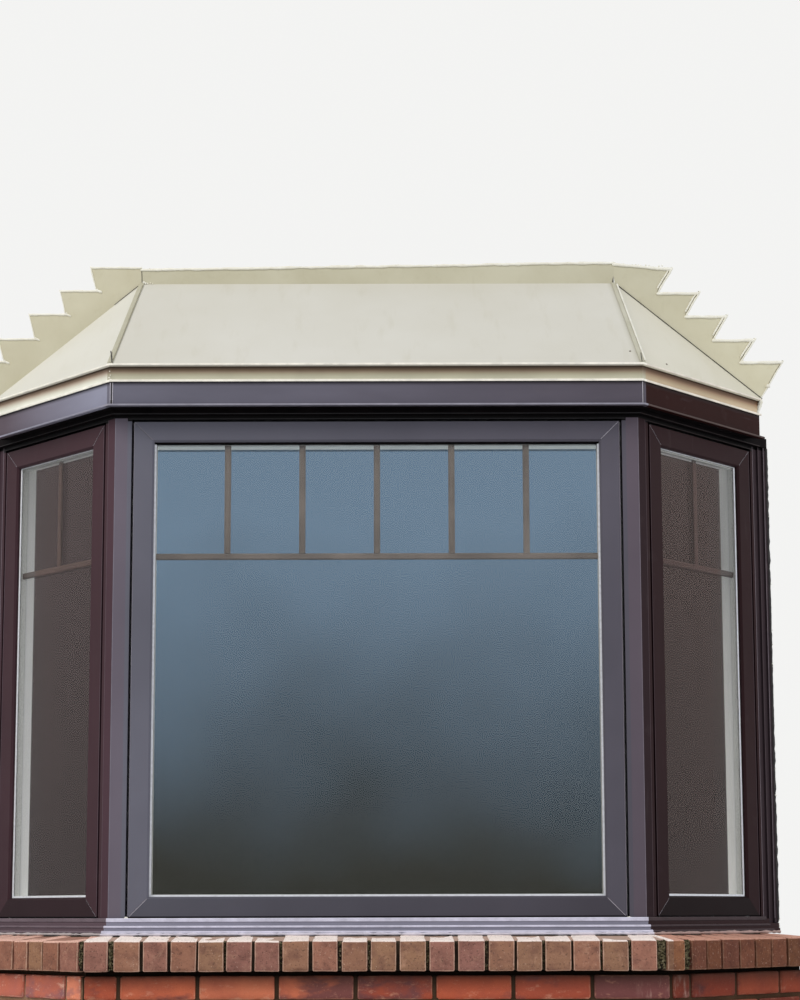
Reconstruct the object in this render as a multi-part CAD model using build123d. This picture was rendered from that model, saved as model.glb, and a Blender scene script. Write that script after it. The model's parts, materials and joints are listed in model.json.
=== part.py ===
from build123d import *
import os
from math import cos, radians, sin, tan

# A three-sided bay window on a brick base, with a hipped sheet-metal roof.
# Millimetres. +Z is up and Z = 0 is the ground. The face of the house wall is
# the plane Y = 0 and the bay stands out from it towards -Y. X = 0 is the middle.

# Plan of the window units
FRONT_WIDTH = 1416.6
FLANK_ANGLE = 45.0
WALL_SOCKET = 100.0
SOCKET_PLAY = 2.6

# Brick base and brick-on-edge sill
COURSE = 71.5
BASE_COURSES = 16
BASE_OVERHANG = 116.0
BASE_LEAF_THICKNESS = 90.0
BASE_THICKNESS = 205.0
SILL_OVERHANG = 134.5
SILL_FACE = 78.0
SILL_BACK = 91.0

# Window units
BOARD = 28.0
FRAME_LIP = 11.0
FRAME_DEPTH = 76.0
STOP_LAP = 14.0
SASH_GAP = 7.0
SASH_HEIGHT = 1332.0
SASH_FACE = 54.5
SASH_DEPTH = 45.0
SASH_BEAD = 5.0
ROOM_STOP_PLAY = 0.5
ROOM_STOP_STEP = 9.0
ROOM_STOP_STEP_DEPTH = 17.0
POST_FRONT = 34.0
POST_SIDE = 30.5
FLANK_SASH_WIDTH = 464.0
JAMB_WIDTH = 55.0
JAMB_STEPS = 3
JAMB_STEP_RISE = 6.0

# Double glazing
GLASS_SETBACK = 14.0
PANE = 4.0
PANE_GAP = 16.0
GLASS_LAP = 12.0
GLASS_PLAY = 2.0
SPACER_SIGHT = 6.0

# Stepped nosing below the frames
NOSING_REACH = 28.0
NOSING_STEPS = 3
NOSING_FIRST = 6.0

# Head trim, soffit and fascia
ROOF_FORWARD = 10.0
TRIM_REACH = 13.5
TRIM_HEIGHT = 13.0
CURB = 30.0
CURB_JOINT = 1.0
SHEET = 2.5
FASCIA_OUT = 41.5
FASCIA_HEIGHT = 70.0
FASCIA_PLAY = 0.5
FASCIA_LIP = 10.0
FASCIA_LIP_HEIGHT = 6.0
SOFFIT_SETDOWN = 1.5

# Roof
BAND_HEIGHT = 46.0
BAND_KICK = 3.0
BAND_HEM = 7.0
EAVE_OVERHANG = 5.0
EAVE_HEM = 7.0
ROOF_RISE = 345.0
ROOF_TOP_INSET = 22.3
HIP_CAP_WIDTH = 16.0
RIB = 19.0
RIB_COUNT = 5
LEDGER = 38.0
LEDGER_HEIGHT = 140.0

# Wall flashings
APRON_HEIGHT = 53.0
APRON_DROP_LEFT = 6.0
APRON_LIFT_RIGHT = 13.0
STEP_REACH_RIGHT = 149.5
STEP_TAPER_RIGHT = 8.0
STEP_LEAN_RIGHT = 42.0
STEP_REACH_LEFT = 127.5
STEP_TAPER_LEFT = -1.0
STEP_LEAN_LEFT = 18.0

# Levels and lines worked out from the sizes above
FAR = 4000.0
CORNER_X = FRONT_WIDTH / 2
SILL_SEAT = COURSE * BASE_COURSES
SEAT_BOTTOM = SILL_SEAT + SILL_BACK
FRAME_BOTTOM = SEAT_BOTTOM + BOARD
SASH_BOTTOM = FRAME_BOTTOM + FRAME_LIP + SASH_GAP
FRAME_HEIGHT = SASH_HEIGHT + 2 * (SASH_GAP + FRAME_LIP)
HEAD_BOTTOM = FRAME_BOTTOM + FRAME_HEIGHT
HEAD_TOP = HEAD_BOTTOM + BOARD
SOFFIT_BOTTOM = HEAD_BOTTOM + TRIM_HEIGHT
FLANK_SASH_START = POST_SIDE + FRAME_LIP + SASH_GAP
FLANK_FRAME_END = FLANK_SASH_START + FLANK_SASH_WIDTH + SASH_GAP + FRAME_LIP
FLANK_RUN = FLANK_FRAME_END * sin(radians(FLANK_ANGLE)) + FRAME_DEPTH * cos(radians(FLANK_ANGLE))
FRONT_REACH = FLANK_RUN + SOCKET_PLAY - WALL_SOCKET
FRONT_SASH_WIDTH = FRONT_WIDTH - 2 * (POST_FRONT + FRAME_LIP + SASH_GAP)
ROOF_CORNER_X = CORNER_X - ROOF_FORWARD
ROOF_CORNER_Y = -FRONT_REACH - ROOF_FORWARD
CURB_OUT = FASCIA_OUT - SHEET
FASCIA_BOTTOM = SOFFIT_BOTTOM - SOFFIT_SETDOWN
BAND_BOTTOM = FASCIA_BOTTOM + FASCIA_HEIGHT
EAVE_Z = BAND_BOTTOM + BAND_HEIGHT
EAVE_OUT = FASCIA_OUT + EAVE_OVERHANG
ROOF_TOP_Z = EAVE_Z + ROOF_RISE
ROOF_TOP_HALF = CORNER_X - ROOF_TOP_INSET
FLASHING_TOP_Z = ROOF_TOP_Z + APRON_HEIGHT
STEP_COUNT = int((ROOF_RISE + APRON_HEIGHT) / COURSE)


def slab(points, bottom, top):
    """An upright prism on a plan outline."""
    face = make_face(Polyline(*points, close=True))
    return Pos(0, 0, bottom) * extrude(face, top - bottom)


def box(x0, x1, y0, y1, z0, z1):
    """A box between two corners."""
    middle = ((x0 + x1) / 2, (y0 + y1) / 2, (z0 + z1) / 2)
    return Pos(*middle) * Box(x1 - x0, y1 - y0, z1 - z0)


def mitre_point(corner, distance):
    """A point on the line that halves a corner of the bay, outwards by distance."""
    half = radians(FLANK_ANGLE / 2)
    return (corner[0] + distance * tan(half), corner[1] - distance)


def front_zone(corner):
    """The part of space that belongs to the front, between the two mitre planes."""
    outer = mitre_point(corner, FAR)
    inner = mitre_point(corner, -corner[0])
    points = [
        (-outer[0], outer[1]),
        outer,
        inner,
        (-inner[0], inner[1]),
    ]
    return slab(points, -FAR, 2 * FAR)


def flank_zone(corner, back):
    """The part of space that belongs to the right flank, as far as a plane Y = back."""
    outer = mitre_point(corner, FAR)
    inner = mitre_point(corner, corner[1] - back)
    points = [outer, (outer[0] + FAR, outer[1]), (outer[0] + FAR, back), inner]
    return slab(points, -FAR, 2 * FAR)


def turn(shape, corner):
    """Swings a piece built along the front round a corner onto the right flank."""
    away = Pos(-corner[0], -corner[1], 0)
    return Pos(corner[0], corner[1], 0) * Rot(0, 0, FLANK_ANGLE) * away * shape


def mirrored(shape):
    """The same piece on the left flank."""
    return mirror(shape, about=Plane.YZ)


def run_along(profile, corner, back=0.0):
    """Three mitred pieces of one section; profile holds (distance outwards, height) pairs."""
    points = [(0, corner[1] - out, z) for out, z in profile]
    face = make_face(Polyline(*points, close=True))
    bar = Pos(-FAR / 2, 0, 0) * extrude(face, FAR, dir=(1, 0, 0))
    front = bar & front_zone(corner)
    right = turn(bar, corner) & flank_zone(corner, back)
    return {"front": front, "right": right, "left": mirrored(right)}


def ring(width, height, depth, opening_width, opening_height):
    """A flat rectangular ring, standing in XZ with its face at Y = 0 and centred on Z."""
    outer = box(-width / 2, width / 2, 0, depth, -height / 2, height / 2)
    half_w, half_h = opening_width / 2, opening_height / 2
    return outer - box(-half_w, half_w, -FAR, FAR, -half_h, half_h)


def outer_frame(sash_width):
    """The fixed frame: a lip round the sash, and a stop that the sash closes on."""
    grow = 2 * (SASH_GAP + FRAME_LIP)
    pocket = 2 * SASH_GAP
    lap = 2 * STOP_LAP
    width, height = sash_width + grow, SASH_HEIGHT + grow
    lip = ring(width, height, SASH_DEPTH, sash_width + pocket, SASH_HEIGHT + pocket)
    stop = ring(width, height, FRAME_DEPTH - SASH_DEPTH, sash_width - lap, SASH_HEIGHT - lap)
    return lip + Pos(0, SASH_DEPTH, 0) * stop


def sash(sash_width):
    """The sash: a ring with a groove that holds the double glazing."""
    sight_w, sight_h = sash_width - 2 * SASH_FACE, SASH_HEIGHT - 2 * SASH_FACE
    body = ring(sash_width, SASH_HEIGHT, SASH_DEPTH, sight_w, sight_h)
    bead = body.faces().sort_by(Axis.Y)[0].inner_wires()[0].edges()
    body = chamfer(bead, SASH_BEAD)
    groove_w, groove_h = sight_w / 2 + GLASS_LAP, sight_h / 2 + GLASS_LAP
    groove_end = GLASS_SETBACK + 2 * PANE + PANE_GAP
    return body - box(-groove_w, groove_w, GLASS_SETBACK, groove_end, -groove_h, groove_h)


def room_stop(sash_width):
    """The stop on the room side of the sash, stepped back from the glass."""
    lap = 2 * (STOP_LAP + ROOM_STOP_PLAY)
    width, height = sash_width - lap, SASH_HEIGHT - lap
    sight_w, sight_h = sash_width - 2 * SASH_FACE, SASH_HEIGHT - 2 * SASH_FACE
    open_w, open_h = sight_w + 2 * ROOM_STOP_STEP, sight_h + 2 * ROOM_STOP_STEP
    near = ring(width, height, ROOM_STOP_STEP_DEPTH, sight_w, sight_h)
    far = ring(width, height, FRAME_DEPTH - SASH_DEPTH - ROOM_STOP_STEP_DEPTH, open_w, open_h)
    return Pos(0, SASH_DEPTH, 0) * (near + Pos(0, ROOM_STOP_STEP_DEPTH, 0) * far)


def panes(sash_width):
    """The two panes of the double glazing."""
    half_w = sash_width / 2 - SASH_FACE + GLASS_LAP - GLASS_PLAY
    half_h = SASH_HEIGHT / 2 - SASH_FACE + GLASS_LAP - GLASS_PLAY
    second = GLASS_SETBACK + PANE + PANE_GAP
    outside = box(-half_w, half_w, GLASS_SETBACK, GLASS_SETBACK + PANE, -half_h, half_h)
    inside = box(-half_w, half_w, second, second + PANE, -half_h, half_h)
    return [outside, inside]


def spacer(sash_width):
    """The bar between the panes, which shows as a pale line inside the sash."""
    sight_w, sight_h = sash_width - 2 * SASH_FACE, SASH_HEIGHT - 2 * SASH_FACE
    grow = 2 * (GLASS_LAP - GLASS_PLAY)
    show = 2 * SPACER_SIGHT
    bar = ring(sight_w + grow, sight_h + grow, PANE_GAP, sight_w - show, sight_h - show)
    return Pos(0, GLASS_SETBACK + PANE, 0) * bar


def stand_front(shape):
    """Puts a window piece into the front of the bay."""
    return Pos(0, -FRONT_REACH, SASH_BOTTOM + SASH_HEIGHT / 2) * shape


def stand_flank(shape):
    """Puts a window piece into the right flank."""
    middle = CORNER_X + FLANK_SASH_START + FLANK_SASH_WIDTH / 2
    upright = Pos(middle, -FRONT_REACH, SASH_BOTTOM + SASH_HEIGHT / 2) * shape
    return turn(upright, UNIT_CORNER)


def flank_point(along, inwards):
    """A plan point on the right flank, along it from the corner and in from its face."""
    point = turn(Pos(CORNER_X + along, -FRONT_REACH + inwards, 0), UNIT_CORNER)
    return (point.position.X, point.position.Y)


def steps(count, run, rise, start_run, start_rise):
    """Corner points of a flight of equal steps, as (run, rise) pairs."""
    points = []
    for k in range(count):
        points.append((start_run + run * k, start_rise + rise * k))
        points.append((start_run + run * k, start_rise + rise * (k + 1)))
    return points


UNIT_CORNER = (CORNER_X, -FRONT_REACH)
ROOF_CORNER = (ROOF_CORNER_X, ROOF_CORNER_Y)
nodes = {}


def add(name, shapes):
    """Keeps one named node made of one or more solids."""
    solids = []
    for shape in shapes if isinstance(shapes, list) else [shapes]:
        solids.extend(shape.solids())
    nodes[name] = solids


def add_run(stem, pieces):
    """Keeps the front, left and right piece of a mitred run."""
    for side, shape in pieces.items():
        add(f"{stem}_{side}", shape)


# Brick base: an outer skin up to the sill, and an inner leaf up to the seat board
inner_leaf = BASE_OVERHANG - BASE_LEAF_THICKNESS
base_section = [
    (BASE_OVERHANG, 0),
    (BASE_OVERHANG, SILL_SEAT),
    (inner_leaf, SILL_SEAT),
    (inner_leaf, SEAT_BOTTOM),
    (BASE_OVERHANG - BASE_THICKNESS, SEAT_BOTTOM),
    (BASE_OVERHANG - BASE_THICKNESS, 0),
]
add_run("base_wall", run_along(base_section, UNIT_CORNER))

# Brick-on-edge sill with a weathered top
sill_section = [
    (SILL_OVERHANG, SILL_SEAT),
    (SILL_OVERHANG, SILL_SEAT + SILL_FACE),
    (inner_leaf, SEAT_BOTTOM),
    (inner_leaf, SILL_SEAT),
]
add_run("rowlock_sill", run_along(sill_section, UNIT_CORNER))

# Plan of a wall jamb: stepped brickmould outside, run on past the back of the brick opening
jamb_run = JAMB_WIDTH / JAMB_STEPS
jamb_end = FLANK_FRAME_END + JAMB_WIDTH
jamb_points = [(FLANK_FRAME_END, 0)]
jamb_points += steps(JAMB_STEPS - 1, jamb_run, JAMB_STEP_RISE, FLANK_FRAME_END + jamb_run, 0)
jamb_points.append((jamb_end, JAMB_STEP_RISE * (JAMB_STEPS - 1)))
jamb_points.append((jamb_end, -2 * FRAME_DEPTH))
jamb_points.append((FLANK_FRAME_END, -2 * FRAME_DEPTH))
jamb_plan = [flank_point(along, -proud) for along, proud in jamb_points]
reveal_x = max(x for x, y in jamb_plan if y < WALL_SOCKET)

# Seat board and head board, one under and one over the window units
board_back = flank_point((FRONT_REACH + WALL_SOCKET) / sin(radians(FLANK_ANGLE)), 0)
board_plan = [
    (-CORNER_X, -FRONT_REACH),
    (CORNER_X, -FRONT_REACH),
    (board_back[0], WALL_SOCKET),
    (-board_back[0], WALL_SOCKET),
]
opening = box(-reveal_x, reveal_x, -FAR, WALL_SOCKET, 0, FAR)
add("seat_board", slab(board_plan, SEAT_BOTTOM, FRAME_BOTTOM) & opening)
add("head_board", slab(board_plan, HEAD_BOTTOM, HEAD_TOP) & opening)

# Window units
frames = {"front": FRONT_SASH_WIDTH, "right": FLANK_SASH_WIDTH}
room_stops = []
spacers = []
for side, sash_width in frames.items():
    stand = stand_front if side == "front" else stand_flank
    add(f"frame_{side}", stand(outer_frame(sash_width)))
    add(f"sash_{side}", stand(sash(sash_width)))
    add(f"glass_{side}", [stand(pane) for pane in panes(sash_width)])
    room_stops.append(stand(room_stop(sash_width)))
    spacers.append(stand(spacer(sash_width)))
for stem in ("frame", "sash", "glass"):
    add(f"{stem}_left", [mirrored(solid) for solid in nodes[f"{stem}_right"]])
add("room_stops", room_stops + [mirrored(room_stops[1])])
add("glass_spacers", spacers + [mirrored(spacers[1])])

# Corner posts between the units
post_plan = [
    (CORNER_X - POST_FRONT, -FRONT_REACH),
    (CORNER_X, -FRONT_REACH),
    flank_point(POST_SIDE, 0),
    flank_point(POST_SIDE, FRAME_DEPTH),
    (CORNER_X - POST_FRONT, -FRONT_REACH + FRAME_DEPTH),
]
post = slab(post_plan, FRAME_BOTTOM, HEAD_BOTTOM)
add("corner_post_right", post)
add("corner_post_left", mirrored(post))

# Wall jambs, cut off flat at the back of the brick opening
jamb = slab(jamb_plan, FRAME_BOTTOM, HEAD_BOTTOM) & opening
add("wall_jamb_right", jamb)
add("wall_jamb_left", mirrored(jamb))
socket_room = opening & box(0, FAR, 0, FAR, 0, FAR)

# Stepped nosing: starts under the sash gap and lands on the brick sill
nosing_top = FRAME_BOTTOM + FRAME_LIP
nosing_fall = (nosing_top - SEAT_BOTTOM) / NOSING_STEPS
nosing_run = (NOSING_REACH - NOSING_FIRST) / (NOSING_STEPS - 1)
nosing_section = [(0, nosing_top)]
for k in range(NOSING_STEPS):
    out = NOSING_FIRST + nosing_run * k
    nosing_section.append((out, nosing_top - nosing_fall * k))
    nosing_section.append((out, nosing_top - nosing_fall * (k + 1)))
nosing_section.append((0, SEAT_BOTTOM))
nosing = run_along(nosing_section, UNIT_CORNER)
nosing_end = run_along(nosing_section, UNIT_CORNER, WALL_SOCKET)["right"] & socket_room
nosing["right"] = nosing["right"] + nosing_end - jamb
nosing["left"] = mirrored(nosing["right"])
add_run("sill_nosing", nosing)

# Head trim with the soffit that carries the roof curb
soffit_out = ROOF_FORWARD + CURB_OUT
trim_section = [
    (0, HEAD_BOTTOM),
    (TRIM_REACH, HEAD_BOTTOM),
    (TRIM_REACH, SOFFIT_BOTTOM),
    (soffit_out, SOFFIT_BOTTOM),
    (soffit_out, HEAD_TOP),
    (0, HEAD_TOP),
]
trim = run_along(trim_section, UNIT_CORNER)
curb_face = ROOF_CORNER_Y - CURB_OUT
beyond_curb = turn(box(-FAR, FAR, curb_face - FAR, curb_face, 0, FAR), ROOF_CORNER)
trim["right"] = trim["right"] - beyond_curb
trim["front"] = trim["front"] - beyond_curb - mirrored(beyond_curb)
cover_section = [(0, HEAD_BOTTOM), (TRIM_REACH, HEAD_BOTTOM), (TRIM_REACH, HEAD_TOP), (0, HEAD_TOP)]
trim_end = run_along(cover_section, UNIT_CORNER, WALL_SOCKET)["right"] & socket_room
trim["right"] = trim["right"] + trim_end
trim["left"] = mirrored(trim["right"])
add_run("head_trim", trim)

# Corners of the three roof planes
eave_corner = mitre_point(ROOF_CORNER, EAVE_OUT)
eave_end_x = eave_corner[0] - eave_corner[1] / tan(radians(FLANK_ANGLE))
hip_top = (ROOF_TOP_HALF, 0, ROOF_TOP_Z)
hip_foot = (eave_corner[0], eave_corner[1], EAVE_Z)
eave_end = (eave_end_x, 0, EAVE_Z)
front_slope = [(-hip_foot[0], hip_foot[1], EAVE_Z), hip_foot, hip_top, (-ROOF_TOP_HALF, 0, ROOF_TOP_Z)]
flank_slope = [hip_foot, eave_end, hip_top]


def up_normal(points):
    """The upward normal of a sloping polygon."""
    a, b, c = (Vector(*p) for p in points[:3])
    return (b - a).cross(c - a).normalized()


def below(points, lift):
    """All of the space under a sloping plane that is lifted off its polygon."""
    normal = up_normal(points)
    plane = Plane(origin=Vector(*points[0]) + normal * lift, z_dir=normal)
    return plane * Pos(0, 0, -FAR) * Box(4 * FAR, 4 * FAR, 2 * FAR)


def under_roof(lift):
    """All of the space under the three roof planes, lifted, and in front of the wall."""
    flank = below(flank_slope, lift)
    room = box(-FAR, FAR, -FAR, 0, 0, FAR)
    return room & below(front_slope, lift) & flank & mirrored(flank)


roof_room = under_roof(0)
roof_skin = under_roof(SHEET)

# Roof sheets, each with a turned-down hem at the eave
hem_section = [
    (EAVE_OUT - SHEET, EAVE_Z - EAVE_HEM),
    (EAVE_OUT, EAVE_Z - EAVE_HEM),
    (EAVE_OUT, EAVE_Z),
    (EAVE_OUT - SHEET, EAVE_Z + 2 * SHEET),
]
hems = run_along(hem_section, ROOF_CORNER)
for side, slope in (("front", front_slope), ("right", flank_slope)):
    flat = extrude(make_face(Polyline(*slope, close=True)), SHEET, dir=up_normal(slope))
    panel = flat & box(-FAR, FAR, -FAR, 0, 0, FAR)
    add(f"roof_panel_{side}", panel + (hems[side] & roof_room))
add("roof_panel_left", [mirrored(solid) for solid in nodes["roof_panel_right"]])

# Folded caps over the two hips
hip_run = Vector(*hip_top) - Vector(*hip_foot)
hip_plane = Plane(origin=hip_foot, x_dir=hip_run, z_dir=hip_run.cross(Vector(0, 0, 1)))
over_hip = hip_plane * Box(2 * FAR, 2 * FAR, HIP_CAP_WIDTH)
eave_plan = [(-hip_foot[0], hip_foot[1]), hip_foot[:2], eave_end[:2], (-eave_end_x, 0)]
cap_room = slab(eave_plan, EAVE_Z, FAR) & box(-FAR, FAR, -FAR, -SHEET, 0, FAR)
hip_cap = (under_roof(2 * SHEET) - roof_skin) & over_hip & cap_room
add("hip_caps", [hip_cap, mirrored(hip_cap)])

# Roof curb on the soffit, ledger on the wall, and ribs between them
curb_section = [
    (CURB_OUT - CURB, HEAD_TOP),
    (CURB_OUT - CURB, ROOF_TOP_Z),
    (CURB_OUT, ROOF_TOP_Z),
    (CURB_OUT, HEAD_TOP),
]
curb = run_along(curb_section, ROOF_CORNER)
curb_front = curb["front"] & front_zone((ROOF_CORNER_X - CURB_JOINT, ROOF_CORNER_Y)) & roof_room
curb_flank = curb["right"] & roof_room
add("roof_curb", [curb_front, curb_flank, mirrored(curb_flank)])
ledger_half = ROOF_TOP_HALF + RIB / 2
ledger_bottom = ROOF_TOP_Z - LEDGER_HEIGHT
ledger = box(-ledger_half, ledger_half, -LEDGER, 0, ledger_bottom, ROOF_TOP_Z)
add("roof_ledger", ledger & roof_room)
ribs = []
for k in range(RIB_COUNT):
    x = ROOF_TOP_HALF * (2 * k / (RIB_COUNT - 1) - 1)
    curb_inside = ROOF_CORNER_Y - CURB_OUT + CURB
    rib = box(x - RIB / 2, x + RIB / 2, curb_inside, -LEDGER, HEAD_TOP, ROOF_TOP_Z)
    ribs.append(rib & roof_room)
add("roof_ribs", ribs)

# Cream band under the eave, with its foot kicked out over the fascia
band_section = [
    (FASCIA_OUT - SHEET, BAND_BOTTOM + BAND_HEM),
    (FASCIA_OUT - SHEET, EAVE_Z),
    (FASCIA_OUT, EAVE_Z),
    (FASCIA_OUT, BAND_BOTTOM + BAND_HEM),
    (FASCIA_OUT + BAND_KICK, BAND_BOTTOM),
    (FASCIA_OUT + BAND_KICK - SHEET, BAND_BOTTOM),
]
add_run("eave_band", run_along(band_section, ROOF_CORNER))

# Brown fascia sheet with a lip at its foot
fascia_section = [
    (FASCIA_OUT - SHEET, FASCIA_BOTTOM),
    (FASCIA_OUT - SHEET, BAND_BOTTOM - FASCIA_PLAY),
    (FASCIA_OUT, BAND_BOTTOM - FASCIA_PLAY),
    (FASCIA_OUT, FASCIA_BOTTOM + FASCIA_LIP_HEIGHT),
    (FASCIA_OUT + FASCIA_LIP, FASCIA_BOTTOM + FASCIA_LIP_HEIGHT),
    (FASCIA_OUT + FASCIA_LIP, FASCIA_BOTTOM),
]
add_run("fascia", run_along(fascia_section, ROOF_CORNER))


def wall_sheet(points):
    """A flat sheet on the wall on an outline of (X, Z) points, seated on the roof."""
    face = make_face(Polyline(*[(x, 0, z) for x, z in points], close=True))
    return extrude(face, SHEET, dir=(0, -1, 0)) - roof_skin


def roof_edge_x(level):
    """Where the edge of the flank roof meets the wall at a level."""
    return ROOF_TOP_HALF + (eave_end_x - ROOF_TOP_HALF) * (ROOF_TOP_Z - level) / ROOF_RISE


def stepped_outline(reach, taper, lean):
    """Outline of the step flashing: one step a brick course, each leaning inwards."""
    points = [(ROOF_TOP_HALF, ROOF_TOP_Z), (ROOF_TOP_HALF, FLASHING_TOP_Z)]
    for k in range(STEP_COUNT):
        level = FLASHING_TOP_Z - COURSE * k
        tip = roof_edge_x(level - COURSE) + reach - taper * k
        points.append((tip, level))
        if k < STEP_COUNT - 1:
            points.append((tip - lean, level - COURSE))
    points.append((eave_end_x, EAVE_Z))
    return points


# Flashings on the wall: a plain apron in the middle, steps down both sides
apron_outline = [
    (-ROOF_TOP_HALF, ROOF_TOP_Z),
    (ROOF_TOP_HALF, ROOF_TOP_Z),
    (ROOF_TOP_HALF, FLASHING_TOP_Z + APRON_LIFT_RIGHT),
    (-ROOF_TOP_HALF, FLASHING_TOP_Z - APRON_DROP_LEFT),
]
add("apron_flashing", wall_sheet(apron_outline))
right_steps = stepped_outline(STEP_REACH_RIGHT, STEP_TAPER_RIGHT, STEP_LEAN_RIGHT)
left_steps = stepped_outline(STEP_REACH_LEFT, STEP_TAPER_LEFT, STEP_LEAN_LEFT)
add("step_flashing_right", wall_sheet(right_steps))
add("step_flashing_left", mirrored(wall_sheet(left_steps)))

os.makedirs("parts", exist_ok=True)
for name, solids in nodes.items():
    shape = Compound(children=solids) if len(solids) > 1 else solids[0]
    export_step(shape, f"parts/{name}.step")
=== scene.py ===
import json
import math
import random

import bmesh
import bpy
import numpy as np
from mathutils import Matrix, Vector, geometry, noise


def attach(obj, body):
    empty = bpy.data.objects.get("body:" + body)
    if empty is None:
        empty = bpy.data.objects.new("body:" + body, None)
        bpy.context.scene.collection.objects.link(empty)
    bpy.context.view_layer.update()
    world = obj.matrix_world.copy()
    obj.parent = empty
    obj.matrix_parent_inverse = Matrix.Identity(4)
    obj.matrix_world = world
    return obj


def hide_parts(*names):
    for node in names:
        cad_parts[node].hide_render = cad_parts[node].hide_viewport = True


# The offsets of noise_vector come from this seed, and without it from the clock
noise.seed_set(5)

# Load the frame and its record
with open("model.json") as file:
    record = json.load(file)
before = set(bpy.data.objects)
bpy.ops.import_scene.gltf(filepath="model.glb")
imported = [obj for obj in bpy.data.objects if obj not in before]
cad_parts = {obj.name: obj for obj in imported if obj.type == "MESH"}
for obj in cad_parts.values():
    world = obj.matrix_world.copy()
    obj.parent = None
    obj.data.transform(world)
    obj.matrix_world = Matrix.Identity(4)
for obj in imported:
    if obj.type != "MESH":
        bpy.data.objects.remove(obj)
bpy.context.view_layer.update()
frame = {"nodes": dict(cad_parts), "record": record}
nodes = frame["nodes"]

# Camera at the photograph's viewing angle: place in metres, angles in radians
CAMERA_PLACE = Vector((0.0528, -5.6038, 1.2917))
CAMERA_YAW = 0.0016
CAMERA_PITCH = 0.1238
CAMERA_ROLL = -0.0025
CAMERA_LENS = 71.7
CAMERA_SHIFT = 0.1652


def make_camera():
    """The photograph's camera, looking slightly up from the level of the window's foot."""
    sy, cy = math.sin(CAMERA_YAW), math.cos(CAMERA_YAW)
    sp, cp = math.sin(CAMERA_PITCH), math.cos(CAMERA_PITCH)
    forward = Vector((sy * cp, cy * cp, sp))
    right = Vector((cy, -sy, 0))
    up = right.cross(forward)
    sr, cr = math.sin(CAMERA_ROLL), math.cos(CAMERA_ROLL)
    right, up = cr * right + sr * up, cr * up - sr * right
    turn = Matrix((right, up, -forward)).transposed().to_4x4()
    data = bpy.data.cameras.new("camera")
    camera = bpy.data.objects.new("camera", data)
    bpy.context.scene.collection.objects.link(camera)
    camera.matrix_world = Matrix.Translation(CAMERA_PLACE) @ turn
    data.sensor_width = 36
    data.lens = CAMERA_LENS
    data.shift_y = CAMERA_SHIFT
    data.clip_end = 100
    bpy.context.scene.camera = camera


make_camera()


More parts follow.
